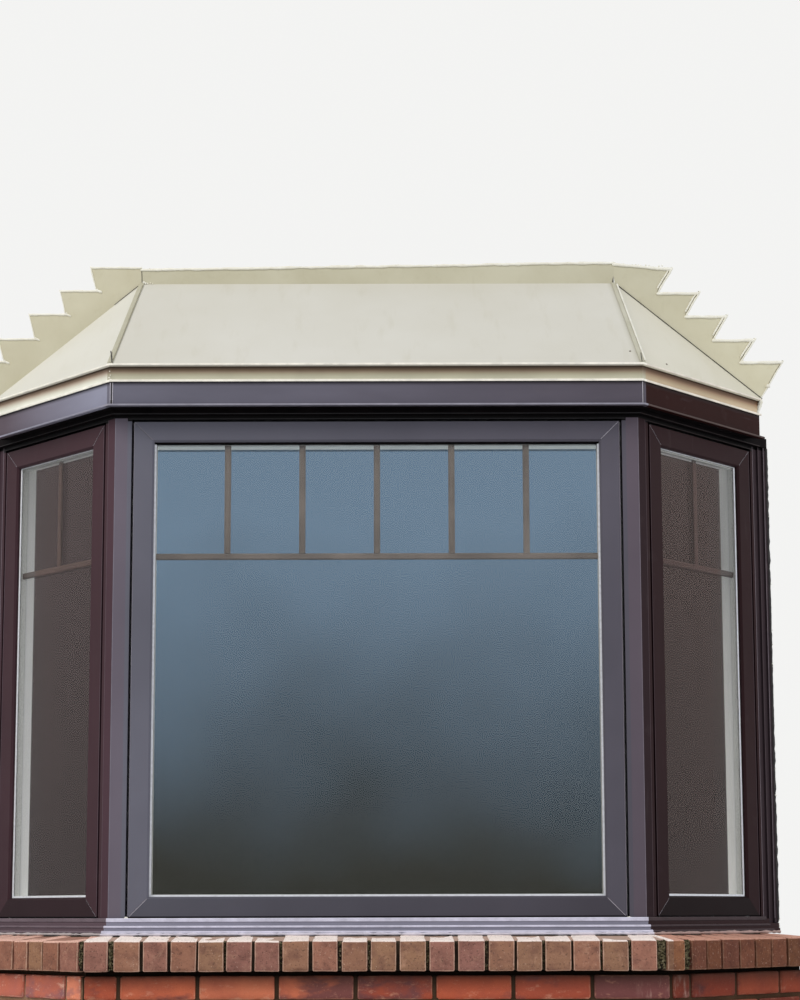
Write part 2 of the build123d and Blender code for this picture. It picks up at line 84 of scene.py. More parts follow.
class Nodes:
    """A small helper that adds and links shader nodes."""

    def __init__(self, name):
        self.material = bpy.data.materials.new(name)
        self.material.use_nodes = True
        self.tree = self.material.node_tree
        self.tree.nodes.clear()
        self.out = self.add("ShaderNodeOutputMaterial")

    def add(self, kind, **values):
        """A new node; the values set its properties."""
        node = self.tree.nodes.new(kind)
        for key, value in values.items():
            setattr(node, key, value)
        return node

    def link(self, a, b):
        """Links an output to an input."""
        self.tree.links.new(a, b)

    def put(self, socket, value):
        """Links a socket to another socket, or sets its value."""
        if isinstance(value, bpy.types.NodeSocket):
            self.link(value, socket)
        else:
            socket.default_value = value

    def place(self):
        """Positions in metres in the row frame, the same on every piece."""
        return self.add("ShaderNodeTexCoord").outputs["Object"]

    def fill(self, node, **values):
        """Sets or links a node's inputs, which are named with underscores for spaces."""
        for key, value in values.items():
            if value is not None:
                self.put(node.inputs[key.replace("_", " ")], value)
        return node

    def noise(self, scale, detail=3.0, rough=0.55, vector=None, distortion=0.0):
        """Smooth noise; a larger scale gives smaller spots."""
        node = self.fill(
            self.add("ShaderNodeTexNoise"), Vector=self.place() if vector is None else vector,
            Scale=scale, Detail=detail, Roughness=rough, Distortion=distortion,
        )
        return node.outputs["Fac"]

    def stretch(self, scale):
        """The position, stretched by a scale per axis."""
        node = self.fill(self.add("ShaderNodeMapping"), Vector=self.place(), Scale=scale)
        return node.outputs["Vector"]

    def ramp(self, fac, stops):
        """A colour ramp of (place, colour) stops in linear light."""
        node = self.add("ShaderNodeValToRGB")
        elements = node.color_ramp.elements
        for element, (at, colour) in zip(elements, (stops[0], stops[-1])):
            element.position = at
            element.color = (*colour, 1)
        for at, colour in stops[1:-1]:
            elements.new(at).color = (*colour, 1)
        self.link(fac, node.inputs["Fac"])
        return node.outputs["Color"]

    def grey(self, fac, low, high, a=0.0, b=1.0):
        """Maps fac from the range low..high onto a..b, clamped."""
        node = self.fill(
            self.add("ShaderNodeMapRange"), Value=fac,
            From_Min=low, From_Max=high, To_Min=a, To_Max=b,
        )
        return node.outputs["Result"]

    def mix(self, fac, a, b, kind="MIX"):
        """A colour between a and b, or another blend of the two."""
        node = self.add("ShaderNodeMix", data_type="RGBA", blend_type=kind)
        self.put(node.inputs[0], fac)
        for socket, value in ((node.inputs[6], a), (node.inputs[7], b)):
            self.put(socket, (*value, 1) if isinstance(value, tuple) and len(value) == 3 else value)
        return node.outputs[2]

    def math(self, kind, a, b=0.0, c=None):
        """The result of a maths node."""
        node = self.add("ShaderNodeMath", operation=kind)
        self.put(node.inputs[0], a)
        self.put(node.inputs[1], b)
        if c is not None:
            self.put(node.inputs[2], c)
        return node.outputs[0]

    def axes(self, vector=None):
        """The X, Y and Z of a vector, or else of the position."""
        split = self.add("ShaderNodeSeparateXYZ")
        self.link(vector if vector is not None else self.place(), split.inputs[0])
        return [split.outputs[axis] for axis in "XYZ"]

    def shade(self, fac, low, high, a, b):
        """A colour from a to b, in 8-bit values, as fac runs from low to high."""
        return self.mix(self.grey(fac, low, high), srgb(*a), srgb(*b))

    def stain_and_shade(self, under, fac, low, high, share, colour):
        """A colour in 8-bit values over another, up to a share, as fac runs from low to high; used
        for stains and for painted shade.
        """
        return self.mix(self.grey(fac, low, high, 0, share), under, srgb(*colour))

    def times(self, colour, tone):
        """Two colours multiplied."""
        return self.mix(1.0, colour, tone, "MULTIPLY")

    def tones(self, fac, stops):
        """A ramp of (place, red, green, blue) stops in 8-bit values."""
        return self.ramp(fac, [(at, srgb(*colour)) for at, *colour in stops])

    def attribute(self, name):
        """A value stored on the points of a mesh."""
        node = self.add("ShaderNodeAttribute", attribute_name=name)
        return node.outputs["Fac"]

    def bump(self, height, strength, distance, under=None):
        """A normal raised by a height, over another normal."""
        node = self.fill(
            self.add("ShaderNodeBump"), Strength=strength, Distance=distance, Height=height,
            Normal=under,
        )
        return node.outputs["Normal"]

    def shader(self, colour, rough, normal=None, metallic=0.0, **sockets):
        """Ends the material in one Principled shader."""
        node = self.fill(
            self.add("ShaderNodeBsdfPrincipled"), Roughness=rough, Metallic=metallic,
            Base_Color=(*colour, 1) if isinstance(colour, tuple) else colour,
            Normal=normal, **sockets,
        )
        self.link(node.outputs["BSDF"], self.out.inputs["Surface"])
        return self.material


def srgb(r, g, b):
    """A colour read as 8-bit values, in linear light."""
    def one(v):
        v /= 255
        return v / 12.92 if v <= 0.04045 else ((v + 0.055) / 1.055) ** 2.4
    return (one(r), one(g), one(b))


# The bay's plan, as in the CAD source: corner of the window units, and the two flanks at 45 degrees
CORNER_X = 0.7083
CORNER_Y = 0.33146
COS45 = math.sqrt(0.5)
HALF_TURN = math.radians(22.5)
MITRE = math.tan(HALF_TURN)
SILL_SEAT = 1.144
SEAT_BOTTOM = 1.235
SASH_BOTTOM = 1.281
SASH_HEIGHT = 1.332
SASH_FACE = 0.0545
FRONT_SASH = 1.3126
FLANK_SASH = 0.464
FLANK_START = 0.0485
BASE_OUT = 0.116
SILL_OUT = 0.1345
COURSE = 0.0715
RAIL_HEIGHT = 0.060
# Half the width over which a tone of painted light runs along the front
FRONT_SPAN = 0.68
# Distances outwards of the planes between the two panes, and between brown and white paint
PANE_SPLIT = -0.026
PAINT_SPLIT = -0.040
# Distances outwards of the brickwork's inner faces: inner leaf, and outer leaf with its sill
INNER_LEAF = -0.089
OUTER_LEAF = 0.026
SILL_HEIGHT = 0.078
# The roof against the wall: half its width, its top, its eave's level and end, and its rise
ROOF_HALF = 0.686
ROOF_TOP = 3.1035
EAVE_LEVEL = 2.7585
EAVE_END_X = 1.10556
ROOF_RISE = 0.345
# Levels of the fine lines, which are painted highlights: under the head, and at the top and the
# foot of the jambs
HEAD_FOOT = 2.6220
JAMB_TOP = 2.6300
JAMB_FOOT = 1.2750


def height_of(n, waver=0.0):
    """The height of a point, which may waver a little along a surface."""
    z = n.axes()[2]
    if not waver:
        return z
    return n.math("ADD", z, n.math("MULTIPLY", n.noise(9, 3), waver))


def face_planes(n):
    """The X and Y of a point, and its distance outwards from the front plane and from a flank's."""
    x, y, _ = n.axes()
    front = n.math("SUBTRACT", -CORNER_Y, y)
    beside = n.math("SUBTRACT", n.math("ABSOLUTE", x), CORNER_X)
    return x, y, front, n.math("MULTIPLY", n.math("ADD", beside, front), COS45)


def outward(n):
    """Distance outwards from the face plane of the nearest side of the bay."""
    return n.math("MAXIMUM", *face_planes(n)[2:])


def by_side(n, front, left, right):
    """A colour for each side of the bay, chosen by the nearest face plane. A pair of colours runs
    from the left to the right of the front, or along the left flank from its corner to the wall.
    The differences between the sides and along a pair are painted light, shade and reflection."""
    x, y, forward, flank = face_planes(n)
    is_flank = n.math("GREATER_THAN", flank, forward)
    is_right = n.math("GREATER_THAN", x, 0.0)
    if len(front) == 2:
        front = n.mix(n.grey(x, -FRONT_SPAN, FRONT_SPAN), *front)
    if len(left) == 2:
        left = n.mix(n.grey(y, -0.34, -0.03), *left)
    return n.mix(is_flank, front, n.mix(is_right, left, right))


def shades(colours, share=1.0):
    """The colours of the three sides, brightened; a side may have a pair of them."""
    found = []
    for colour in colours:
        if isinstance(colour[0], tuple):
            found.append([srgb(*(v * share for v in c)) for c in colour])
        else:
            found.append(srgb(*(v * share for v in colour)))
    return found


def side_shades(n, fac, colours, shares, most=1.0, high=0.7):
    """The colour of each side of the bay, between a darker and a brighter share of it."""
    dark, bright = (by_side(n, *shades(colours, share)) for share in shares)
    return n.mix(n.grey(fac, 0.35, high, 0, most), dark, bright)


def along_flank(n):
    """The distance along the nearest flank from its corner, negative on the front."""
    x, y, _ = n.axes()
    beyond = n.math("ADD", n.math("ABSOLUTE", x), y)
    return n.math("MULTIPLY", n.math("SUBTRACT", beyond, CORNER_X - CORNER_Y), COS45)


def bottom_rail(n):
    """1 on the mitred bottom rail of a sash and 0 elsewhere."""
    x, _, z = n.axes()
    t = along_flank(n)
    far = n.math("SUBTRACT", FLANK_START + FLANK_SASH, t)
    flank = n.math("MINIMUM", n.math("SUBTRACT", t, FLANK_START), far)
    front = n.math("SUBTRACT", FRONT_SASH / 2, n.math("ABSOLUTE", x))
    edge = n.math("MAXIMUM", front, flank)
    up = n.math("SUBTRACT", z, SASH_BOTTOM)
    low = n.math("LESS_THAN", up, n.math("MINIMUM", edge, RAIL_HEIGHT))
    return n.math("MULTIPLY", low, n.math("GREATER_THAN", up, 0.0))


def brown_paint(name, colours, shade_from, inside=True, sash=False):
    """Dark brown foil outside and, where asked, white inside. Its tone by side, the darker bottom
    rail of a sash and the near black under the head are painted light and shade.
    """
    n = Nodes(name)
    cloud = n.noise(2.3, 3)
    grime = n.noise(14, 5, 0.62)
    streak = n.noise(9, 5, 0.6, vector=n.stretch((5, 5, 0.5)))
    # Painted light: a brown for each side of the bay
    brown = side_shades(n, cloud, colours, (0.95, 1.07), 0.8)
    brown = n.stain_and_shade(brown, grime, 0.6, 0.8, 0.14, (98, 88, 88))
    brown = n.stain_and_shade(brown, streak, 0.62, 0.8, 0.12, (110, 100, 100))
    if sash:
        # Painted shade on a sash's bottom rail, deepest on the right flank
        low = by_side(n, (0.33, 0.33, 0.33), (0.5, 0.5, 0.5), (0.68, 0.68, 0.68))
        brown = n.mix(n.math("MULTIPLY", bottom_rail(n), low), brown, srgb(12, 8, 9))
    # Painted shade: near black above shade_from, under the head
    brown = n.mix(n.grey(height_of(n), shade_from, shade_from + 0.001, 0, 1), brown, srgb(7, 5, 6))
    if inside:
        white = n.shade(cloud, 0.35, 0.7, (228, 227, 223), (236, 235, 232))
        within = n.grey(outward(n), PAINT_SPLIT - 0.0005, PAINT_SPLIT + 0.0005, 1, 0)
        brown = n.mix(within, brown, white)
    rough = n.grey(grime, 0.3, 0.75, 0.34, 0.48)
    fine = n.noise(900, 2)
    return n.shader(brown, rough, n.bump(fine, 0.05, 0.0005), Specular_IOR_Level=0.09)


def brown_sheet(name, colours):
    """Brown folded sheet, with faint streaks of dust; its tone by side is painted light and the
    dark along its top edge is painted shade.
    """
    n = Nodes(name)
    cloud = n.noise(3.1, 3, vector=n.stretch((1, 1, 4)))
    grime = n.noise(18, 5, 0.62)
    streak = n.noise(30, 4, 0.6, vector=n.stretch((0.25, 0.25, 2)))
    # Painted light: a brown for each side
    colour = side_shades(n, cloud, colours, (0.96, 1.06), 0.8)
    colour = n.stain_and_shade(colour, grime, 0.6, 0.8, 0.12, (112, 100, 98))
    colour = n.stain_and_shade(colour, streak, 0.62, 0.8, 0.16, (124, 116, 122))
    # Painted shade along the top edge, under the band's foot
    colour = n.stain_and_shade(colour, height_of(n), 2.699, 2.709, 0.75, (44, 38, 38))
    rough = n.grey(grime, 0.3, 0.75, 0.3, 0.44)
    wave = n.noise(5, 2, vector=n.stretch((1, 1, 3)))
    return n.shader(colour, rough, n.bump(wave, 0.2, 0.004), Specular_IOR_Level=0.07)


def flecked(name, noise, span, low, high, rough, bump=None, metallic=0.0, **sockets):
    """A plain paint or metal whose colour wavers between two shades."""
    n = Nodes(name)
    cloud = n.noise(*noise)
    normal = n.bump(cloud, *bump) if bump else None
    return n.shader(n.shade(cloud, *span, low, high), rough, normal, metallic, **sockets)


def line_paint(name, low, high):
    """Plain colour of a fine line; these lines are painted highlights and painted shadows."""
    return flecked(name, (50, 3), (0.35, 0.7), low, high, 0.55)


def cream_sheet():
    """Weathered cream roofing sheet, with painted light by side, a painted shade beside the fold
    along the right hip and a painted shade under the eave's edge.
    """
    n = Nodes("cream_sheet")
    cloud = n.noise(1.7, 4, 0.6)
    streak = n.noise(7, 5, 0.6, vector=n.stretch((3.5, 1, 0.35)))
    speck = n.noise(230, 3, 0.7)
    colour = n.shade(cloud, 0.35, 0.68, (204, 201, 187), (212, 210, 199))
    colour = n.stain_and_shade(colour, streak, 0.56, 0.78, 0.35, (192, 187, 166))
    colour = n.stain_and_shade(colour, speck, 0.66, 0.78, 0.2, (150, 142, 118))
    x, y, _ = n.axes()
    hip = n.math("MULTIPLY_ADD", y, -0.0813, ROOF_HALF)
    # Painted light: a tone for each slope, and one running across the front
    front = n.mix(n.grey(x, -FRONT_SPAN, FRONT_SPAN), (0.915, 0.905, 0.89), (0.94, 0.925, 0.90))
    flank = n.mix(n.math("GREATER_THAN", x, 0.0), (1.04, 1.04, 1.04), (1.05, 1.02, 0.94))
    tone = n.mix(n.math("GREATER_THAN", n.math("ABSOLUTE", x), hip), front, flank)
    colour = n.times(colour, tone)
    # Painted shade beside the fold of the right hip
    fold = n.math("SUBTRACT", hip, x)
    shade = n.math("MULTIPLY", n.grey(fold, 0.002, 0.024, 0.6, 0), n.grey(fold, -0.001, 0.001))
    colour = n.mix(shade, colour, srgb(166, 161, 138))
    # Painted shade, brown, under the eave's edge
    colour = n.mix(n.grey(height_of(n), 2.7505, 2.7542, 1, 0), colour, srgb(92, 76, 56))
    rough = n.grey(cloud, 0.3, 0.7, 0.42, 0.55)
    wave = n.noise(3.4, 2, 0.4)
    fine = n.noise(500, 2)
    normal = n.bump(fine, 0.05, 0.0004, n.bump(wave, 0.3, 0.006))
    return n.shader(colour, rough, normal)


def band_sheet():
    """The cream band, with painted light by side and towards its right end, a deep brown painted
    shade under the eave, and a painted highlight along its turned-out foot.
    """
    n = Nodes("band_sheet")
    cloud = n.noise(6, 4, 0.6)
    height = height_of(n, 0.003)
    # Painted light: a colour for each side
    sides = ((189, 185, 161), (233, 232, 217), (194, 173, 142))
    pale = side_shades(n, cloud, sides, (0.97, 1.03), high=0.68)
    # Painted shade under the eave, deep brown at the top
    colour = n.ramp(n.grey(height, 2.712, 2.762), [
        (0.18, (1, 1, 1)), (0.29, (0.90, 0.89, 0.85)), (0.39, (0.75, 0.71, 0.67)),
        (0.45, (0.65, 0.59, 0.53)), (0.51, (0.53, 0.44, 0.39)), (0.57, (0.38, 0.29, 0.25)),
        (0.65, (0.20, 0.13, 0.09)), (0.73, (0.14, 0.085, 0.055)),
    ])
    colour = n.mix(1.0, pale, colour, "MULTIPLY")
    # Painted light, brighter towards the right end
    right_end = n.mix(n.grey(n.axes()[0], 0.9, 1.15), (1, 1, 1), (1.27, 1.27, 1.30))
    colour = n.times(colour, right_end)
    # Painted highlight along the turned-out foot
    colour = n.mix(n.grey(height_of(n), 2.7170, 2.7160), colour, srgb(222, 218, 204))
    wave = n.noise(6, 2, 0.5)
    return n.shader(colour, 0.5, n.bump(wave, 0.3, 0.004))


def hip_sheet():
    """The cream cap over a hip, darker than the roof and greyer on the left: painted shade."""
    n = Nodes("hip_sheet")
    cloud = n.noise(9, 4, 0.6)
    left = n.shade(cloud, 0.35, 0.68, (168, 164, 140), (182, 178, 156))
    right = n.shade(cloud, 0.35, 0.68, (176, 172, 150), (188, 184, 164))
    colour = n.mix(n.grey(n.axes()[0], -0.1, 0.1), left, right)
    return n.shader(colour, 0.5, n.bump(cloud, 0.2, 0.003))


def flashing_sheet():
    """Cream flashing sheet on the wall, with dirt and streaks; its brightness on each sheet, rising
    towards the right end, is painted light.
    """
    n = Nodes("flashing_sheet")
    cloud = n.noise(4, 4, 0.6)
    dirt = n.noise(26, 5, 0.66)
    streak = n.noise(20, 4, 0.6, vector=n.stretch((3, 1, 0.4)))
    colour = n.shade(cloud, 0.35, 0.68, (184, 178, 151), (195, 190, 165))
    colour = n.stain_and_shade(colour, dirt, 0.56, 0.78, 0.3, (168, 160, 128))
    colour = n.stain_and_shade(colour, streak, 0.6, 0.8, 0.25, (158, 149, 118))
    x = n.axes()[0]
    # Painted light: a brightness for each sheet, rising towards the right end
    right = n.mix(n.grey(x, 0.79, 1.10), (1.075, 1.075, 1.075), (1.27, 1.27, 1.28))
    tone = n.mix(n.grey(x, 0.6855, 0.6865), (1.03, 1.03, 1.03), right)
    tone = n.mix(n.grey(x, -0.6865, -0.6855), (1.10, 1.09, 1.08), tone)
    colour = n.times(colour, tone)
    wave = n.noise(9, 3, 0.5)
    return n.shader(colour, n.grey(dirt, 0.3, 0.7, 0.42, 0.6), n.bump(wave, 0.4, 0.005))


def sealant():
    """Pale sealant with specks of dirt."""
    n = Nodes("sealant")
    cloud = n.noise(40, 4, 0.6)
    dirt = n.noise(120, 4, 0.66)
    colour = n.shade(cloud, 0.35, 0.68, (228, 223, 204), (240, 237, 222))
    colour = n.stain_and_shade(colour, dirt, 0.60, 0.78, 0.4, (160, 150, 122))
    return n.shader(colour, 0.55, n.bump(dirt, 0.35, 0.001))


def glass_pane():
    """Outer panes nearly clear on the front and reddish on the flanks, and dark inner panes, bluer
    towards the top of the front: these tints are a painted reflection.
    """
    n = Nodes("glazing")
    cloud = n.noise(1.6, 2)
    # Painted reflection: the inner panes' tint by side, from dark at the foot to blue at the top
    low = by_side(n, (0.021, 0.022, 0.016), (0.015, 0.010, 0.010), (0.015, 0.010, 0.009))
    high = by_side(n, (0.150, 0.228, 0.318), (0.036, 0.026, 0.027), (0.033, 0.023, 0.021))
    level = n.math("ADD", height_of(n), n.grey(cloud, 0.3, 0.7, -0.12, 0.12))
    deep = n.mix(n.grey(level, 1.40, 2.35), low, high)
    along = along_flank(n)
    # Painted light: the inner tint is lifted near clear at a flank's far side and top, and to pale
    # blue at the front's top, so that the white reveals show bright there
    rim = n.math("MAXIMUM", n.grey(along, 0.412, 0.413), n.grey(height_of(n), 2.5495, 2.5505))
    on_flank = n.grey(along, 0.05, 0.06)
    rim = n.math("MULTIPLY", rim, on_flank)
    deep = n.mix(rim, deep, (0.97, 0.97, 0.97))
    on_front = n.grey(along, 0.05, 0.06, 1, 0)
    strip = n.math("MULTIPLY", n.grey(height_of(n), 2.5432, 2.5442), on_front)
    deep = n.mix(strip, deep, (0.86, 0.95, 0.97))
    # Painted reflection: the outer panes reddish on the flanks
    outer = by_side(n, (0.96, 0.965, 0.97), (0.97, 0.86, 0.85), (0.97, 0.84, 0.82))
    clear = n.math("MAXIMUM", n.grey(along, 0.381, 0.386), n.grey(height_of(n), 2.541, 2.545))
    clear = n.math("MULTIPLY", clear, on_flank)
    outer = n.mix(clear, outer, (0.96, 0.97, 0.985))
    is_outer = n.grey(outward(n), PANE_SPLIT - 0.0005, PANE_SPLIT + 0.0005)
    colour = n.mix(is_outer, deep, outer)
    return n.shader(colour, 0.0, Transmission_Weight=1.0, IOR=1.2)


def white_paint():
    """Brushed white paint of the board under the head and of the reveals."""
    n = Nodes("white_paint")
    cloud = n.noise(3, 4, 0.6)
    brush = n.noise(40, 3, vector=n.stretch((0.3, 4, 4)))
    colour = n.shade(cloud, 0.35, 0.7, (238, 236, 230), (245, 244, 239))
    return n.shader(colour, n.grey(cloud, 0.3, 0.7, 0.4, 0.5), n.bump(brush, 0.1, 0.001))


def glazing_bar():
    """The dark bars between the panes, lighter on the front than on the flanks: painted light."""
    n = Nodes("glazing_bar")
    cloud = n.noise(9, 3)
    speck = n.noise(400, 2)
    # Painted light: lighter on the front, darker on the flanks
    sides = ((112, 104, 98), (70, 58, 52), (60, 47, 43))
    colour = side_shades(n, cloud, sides, (0.92, 1.1))
    return n.shader(colour, n.grey(speck, 0.3, 0.7, 0.36, 0.48), metallic=0.2)


def sawn_timber():
    """Sawn softwood with grain and knots."""
    n = Nodes("sawn_timber")
    grain = n.noise(26, 6, 0.6, vector=n.stretch((0.25, 4, 4)), distortion=0.6)
    knot = n.noise(5, 3, vector=n.stretch((0.5, 2, 2)))
    colour = n.tones(grain, [(0.3, 150, 112, 70), (0.5, 186, 148, 100), (0.75, 206, 172, 124)])
    colour = n.stain_and_shade(colour, knot, 0.68, 0.78, 0.7, (110, 72, 42))
    return n.shader(colour, 0.75, n.bump(grain, 0.35, 0.002))


def red_brick():
    """Face bricks of the base, with worn pale edges and salt, painted light by side and a painted
    shade under the sill.
    """
    n = Nodes("red_brick")
    tone = n.attribute("tone")
    dark = n.attribute("dark")
    edge = n.attribute("edge")
    colour = n.tones(tone, [
        (0.0, 140, 68, 54), (0.3, 160, 76, 57), (0.6, 172, 84, 61),
        (0.85, 184, 96, 70), (1.0, 190, 108, 82),
    ])
    cloud = n.noise(11, 4, 0.6)
    colour = n.stain_and_shade(colour, cloud, 0.42, 0.7, 0.5, (138, 68, 60))
    blotch = n.noise(7.5, 4, 0.62, vector=n.stretch((1, 1, 1.8)))
    reach = n.math("ADD", blotch, n.math("MULTIPLY", dark, 0.16))
    colour = n.stain_and_shade(colour, reach, 0.56, 0.72, 0.9, (104, 64, 66))
    smear = n.noise(24, 5, 0.66, vector=n.stretch((1, 1, 2.2)))
    worn = n.math("MULTIPLY", edge, n.grey(smear, 0.42, 0.66, 0, 0.6))
    pale = n.math("ADD", n.grey(smear, 0.60, 0.76, 0, 0.6), worn)
    colour = n.mix(n.math("MINIMUM", pale, 0.8), colour, srgb(204, 150, 128))
    speck = n.noise(300, 3, 0.7)
    colour = n.stain_and_shade(colour, speck, 0.62, 0.72, 0.55, (92, 50, 48))
    light = n.noise(210, 3, 0.7, vector=n.stretch((1.3, 1, 1)))
    colour = n.stain_and_shade(colour, light, 0.64, 0.74, 0.5, (222, 168, 142))
    # Painted light: a brightness for each side
    colour = n.times(colour, by_side(n, (1.28, 1.28, 1.14), (1.92, 2.6, 2.7), (0.58, 0.52, 0.48)))
    x = n.axes()[0]
    salt = n.noise(34, 5, 0.65, vector=n.stretch((1.4, 1.4, 0.4)))
    near = n.math("MULTIPLY", n.grey(x, 0.655, 0.70), n.grey(x, 0.80, 0.85, 1, 0))
    salt = n.math("MULTIPLY", near, n.grey(salt, 0.54, 0.68, 0, 0.7))
    colour = n.mix(salt, colour, srgb(176, 136, 122))
    # Painted shade under the sill, lighter on the left flank
    zone = by_side(n, (0.8, 0.8, 0.8), (0.4, 0.4, 0.4), (0.8, 0.8, 0.8))
    zone = n.math("MULTIPLY", zone, n.grey(height_of(n, 0.02), 1.096, 1.142))
    colour = n.mix(zone, colour, srgb(46, 34, 26))
    grain = n.noise(160, 5, 0.72)
    pits = n.noise(48, 3, 0.6)
    normal = n.bump(grain, 0.55, 0.0022, n.bump(pits, 0.4, 0.004))
    return n.shader(colour, 0.88, normal, Specular_IOR_Level=0.2)


def common_brick():
    """Plain bricks of the inner leaf."""
    n = Nodes("common_brick")
    tone = n.attribute("tone")
    cloud = n.noise(13, 5, 0.62)
    colour = n.tones(tone, [(0.0, 160, 86, 66), (0.6, 182, 108, 82)])
    colour = n.stain_and_shade(colour, cloud, 0.5, 0.72, 0.7, (200, 150, 122))
    grain = n.noise(120, 5, 0.72)
    return n.shader(colour, 0.92, n.bump(grain, 0.6, 0.003), Specular_IOR_Level=0.2)


def sill_brick():
    """Bricks of the sill, with painted light by side and a painted shade on the flanks, deepest on
    the right. Their pale sloping tops are partly weathering and partly painted light from above.
    """
    n = Nodes("sill_brick")
    tone = n.attribute("tone")
    edge = n.attribute("edge")
    top = n.attribute("top")
    dark = n.attribute("dark")
    light = n.attribute("light")
    colour = n.tones(tone, [
        (0.0, 150, 104, 92), (0.3, 158, 110, 94), (0.55, 162, 112, 90),
        (0.8, 152, 113, 88), (1.0, 158, 118, 90),
    ])
    cloud = n.noise(26, 5, 0.62)
    colour = n.stain_and_shade(colour, cloud, 0.45, 0.7, 0.7, (112, 76, 66))
    smear = n.noise(36, 5, 0.66)
    colour = n.stain_and_shade(colour, smear, 0.56, 0.74, 0.55, (190, 146, 120))
    high = n.math("MULTIPLY", edge, n.grey(smear, 0.34, 0.6, 0.35, 0.85))
    colour = n.mix(high, colour, srgb(224, 188, 164))
    # Painted shade by the bricks' dark value, which on the flanks is shade and on the front a
    # random darker tone
    colour = n.mix(n.math("MULTIPLY", dark, 0.55), colour, srgb(84, 50, 40))
    # Painted light: a brightness carried on the bricks, then a tint for each side
    colour = n.times(colour, light)
    colour = n.times(colour, by_side(n, (1, 1, 1), (1.03, 1.0, 0.96), (1.12, 0.92, 0.76)))
    # Pale tops, partly weathering and partly painted light from above, by side
    above = by_side(n, srgb(255, 240, 228), srgb(236, 190, 170), srgb(204, 152, 130))
    colour = n.mix(n.math("MULTIPLY", top, 0.95), colour, above)
    speck = n.noise(190, 3, 0.7)
    colour = n.stain_and_shade(colour, speck, 0.58, 0.68, 0.75, (72, 48, 42))
    pale = n.noise(170, 3, 0.7, vector=n.stretch((1.3, 1, 1)))
    colour = n.stain_and_shade(colour, pale, 0.62, 0.72, 0.6, (226, 190, 166))
    grain = n.noise(170, 5, 0.74)
    pits = n.noise(60, 3, 0.6)
    normal = n.bump(grain, 0.7, 0.0026, n.bump(pits, 0.5, 0.004))
    return n.shader(colour, 0.9, normal, Specular_IOR_Level=0.2)


def mortar():
    """Joints of the base, with a painted shade under the sill and painted light by side."""
    n = Nodes("mortar")
    cloud = n.noise(12, 4, 0.6)
    grain = n.noise(260, 5, 0.75)
    colour = n.shade(cloud, 0.35, 0.7, (88, 74, 58), (118, 102, 82))
    colour = n.stain_and_shade(colour, grain, 0.56, 0.7, 0.6, (66, 54, 42))
    # Painted shade under the sill
    colour = n.stain_and_shade(colour, height_of(n), 1.095, 1.135, 0.9, (26, 20, 15))
    # Painted light: a brightness for each side
    colour = n.times(colour, by_side(n, (0.50, 0.42, 0.37), (2.1, 1.75, 1.6), (0.42, 0.30, 0.25)))
    return n.shader(colour, 0.95, n.bump(grain, 0.7, 0.002), Specular_IOR_Level=0.15)


def dark_mortar():
    """Joints of the sill: dark and dirty in front; pale on the sloping top, which is partly painted
    light, with a colour for each side that is painted light.
    """
    n = Nodes("dark_mortar")
    cloud = n.noise(24, 4, 0.6)
    grain = n.noise(260, 5, 0.75)
    colour = n.shade(cloud, 0.35, 0.7, (40, 34, 28), (74, 64, 50))
    colour = n.stain_and_shade(colour, grain, 0.56, 0.7, 0.6, (26, 22, 19))
    normal = n.add("ShaderNodeNewGeometry").outputs["True Normal"]
    on_top = n.grey(n.axes(normal)[2], 0.6, 0.85, 0, 0.85)
    clear = n.grey(outward(n), 0.040, 0.052)
    # Pale top by side, partly painted light
    above = by_side(n, srgb(196, 166, 148), srgb(176, 130, 112), srgb(150, 104, 88))
    colour = n.mix(n.math("MULTIPLY", on_top, clear), colour, above)
    return n.shader(colour, 0.95, n.bump(grain, 0.7, 0.002), Specular_IOR_Level=0.15)


def moss_green():
    """Dry brownish moss."""
    n = Nodes("moss")
    cloud = n.noise(90, 4, 0.6)
    colour = n.tones(cloud, [(0.35, 54, 48, 34), (0.5, 92, 84, 60), (0.68, 136, 126, 100)])
    return n.shader(colour, 0.95, n.bump(n.noise(500, 3), 0.6, 0.001), Specular_IOR_Level=0.1)


def side_line(name, colours):
    """Colour of a thin edge, with a colour for each side of the bay that is painted light."""
    n = Nodes(name)
    cloud = n.noise(30, 3)
    return n.shader(side_shades(n, cloud, colours, (0.93, 1.05)), 0.5, Specular_IOR_Level=0.2)


# Colours of the front, the left flank and the right flank; a pair on the front runs from left to
# right, on the left flank from its corner to the wall. The differences between the sides are
# painted light; LIP, HEM, FASCIA_LIP, HEAD_LINE, FINE_LINE and BRIGHT_LINE colour painted
# highlights, FOOT_BEAD colours sealant.
PAINT = (((104, 103, 112), (90, 86, 94)), (66, 45, 50), (41, 23, 25))
POST = (((107, 99, 108), (97, 87, 95)), (74, 52, 59), (40, 24, 28))
JAMB = ((90, 86, 94), (70, 54, 60), (52, 42, 45))
SHEETS = (((108, 106, 117), (89, 83, 91)), ((142, 142, 157), (90, 79, 86)), (40, 14, 11))
NOSING = ((147, 144, 156), (102, 84, 90), (50, 32, 33))
LIP = ((214, 211, 224), (114, 100, 106), (66, 54, 56))
FOOT_BEAD = ((210, 204, 212), (186, 176, 172), (176, 148, 138))
HEM = ((246, 240, 224), (240, 236, 220), (232, 222, 204))
FASCIA_LIP = ((146, 143, 152), (142, 140, 152), (80, 66, 62))
HEAD_LINE = ((52, 50, 51), (34, 30, 31), (44, 36, 36))
FINE_LINE = (((128, 124, 133), (120, 112, 120)), (100, 84, 90), (76, 62, 66))
BRIGHT_LINE = ((140, 134, 140), (128, 116, 122), (124, 112, 117))

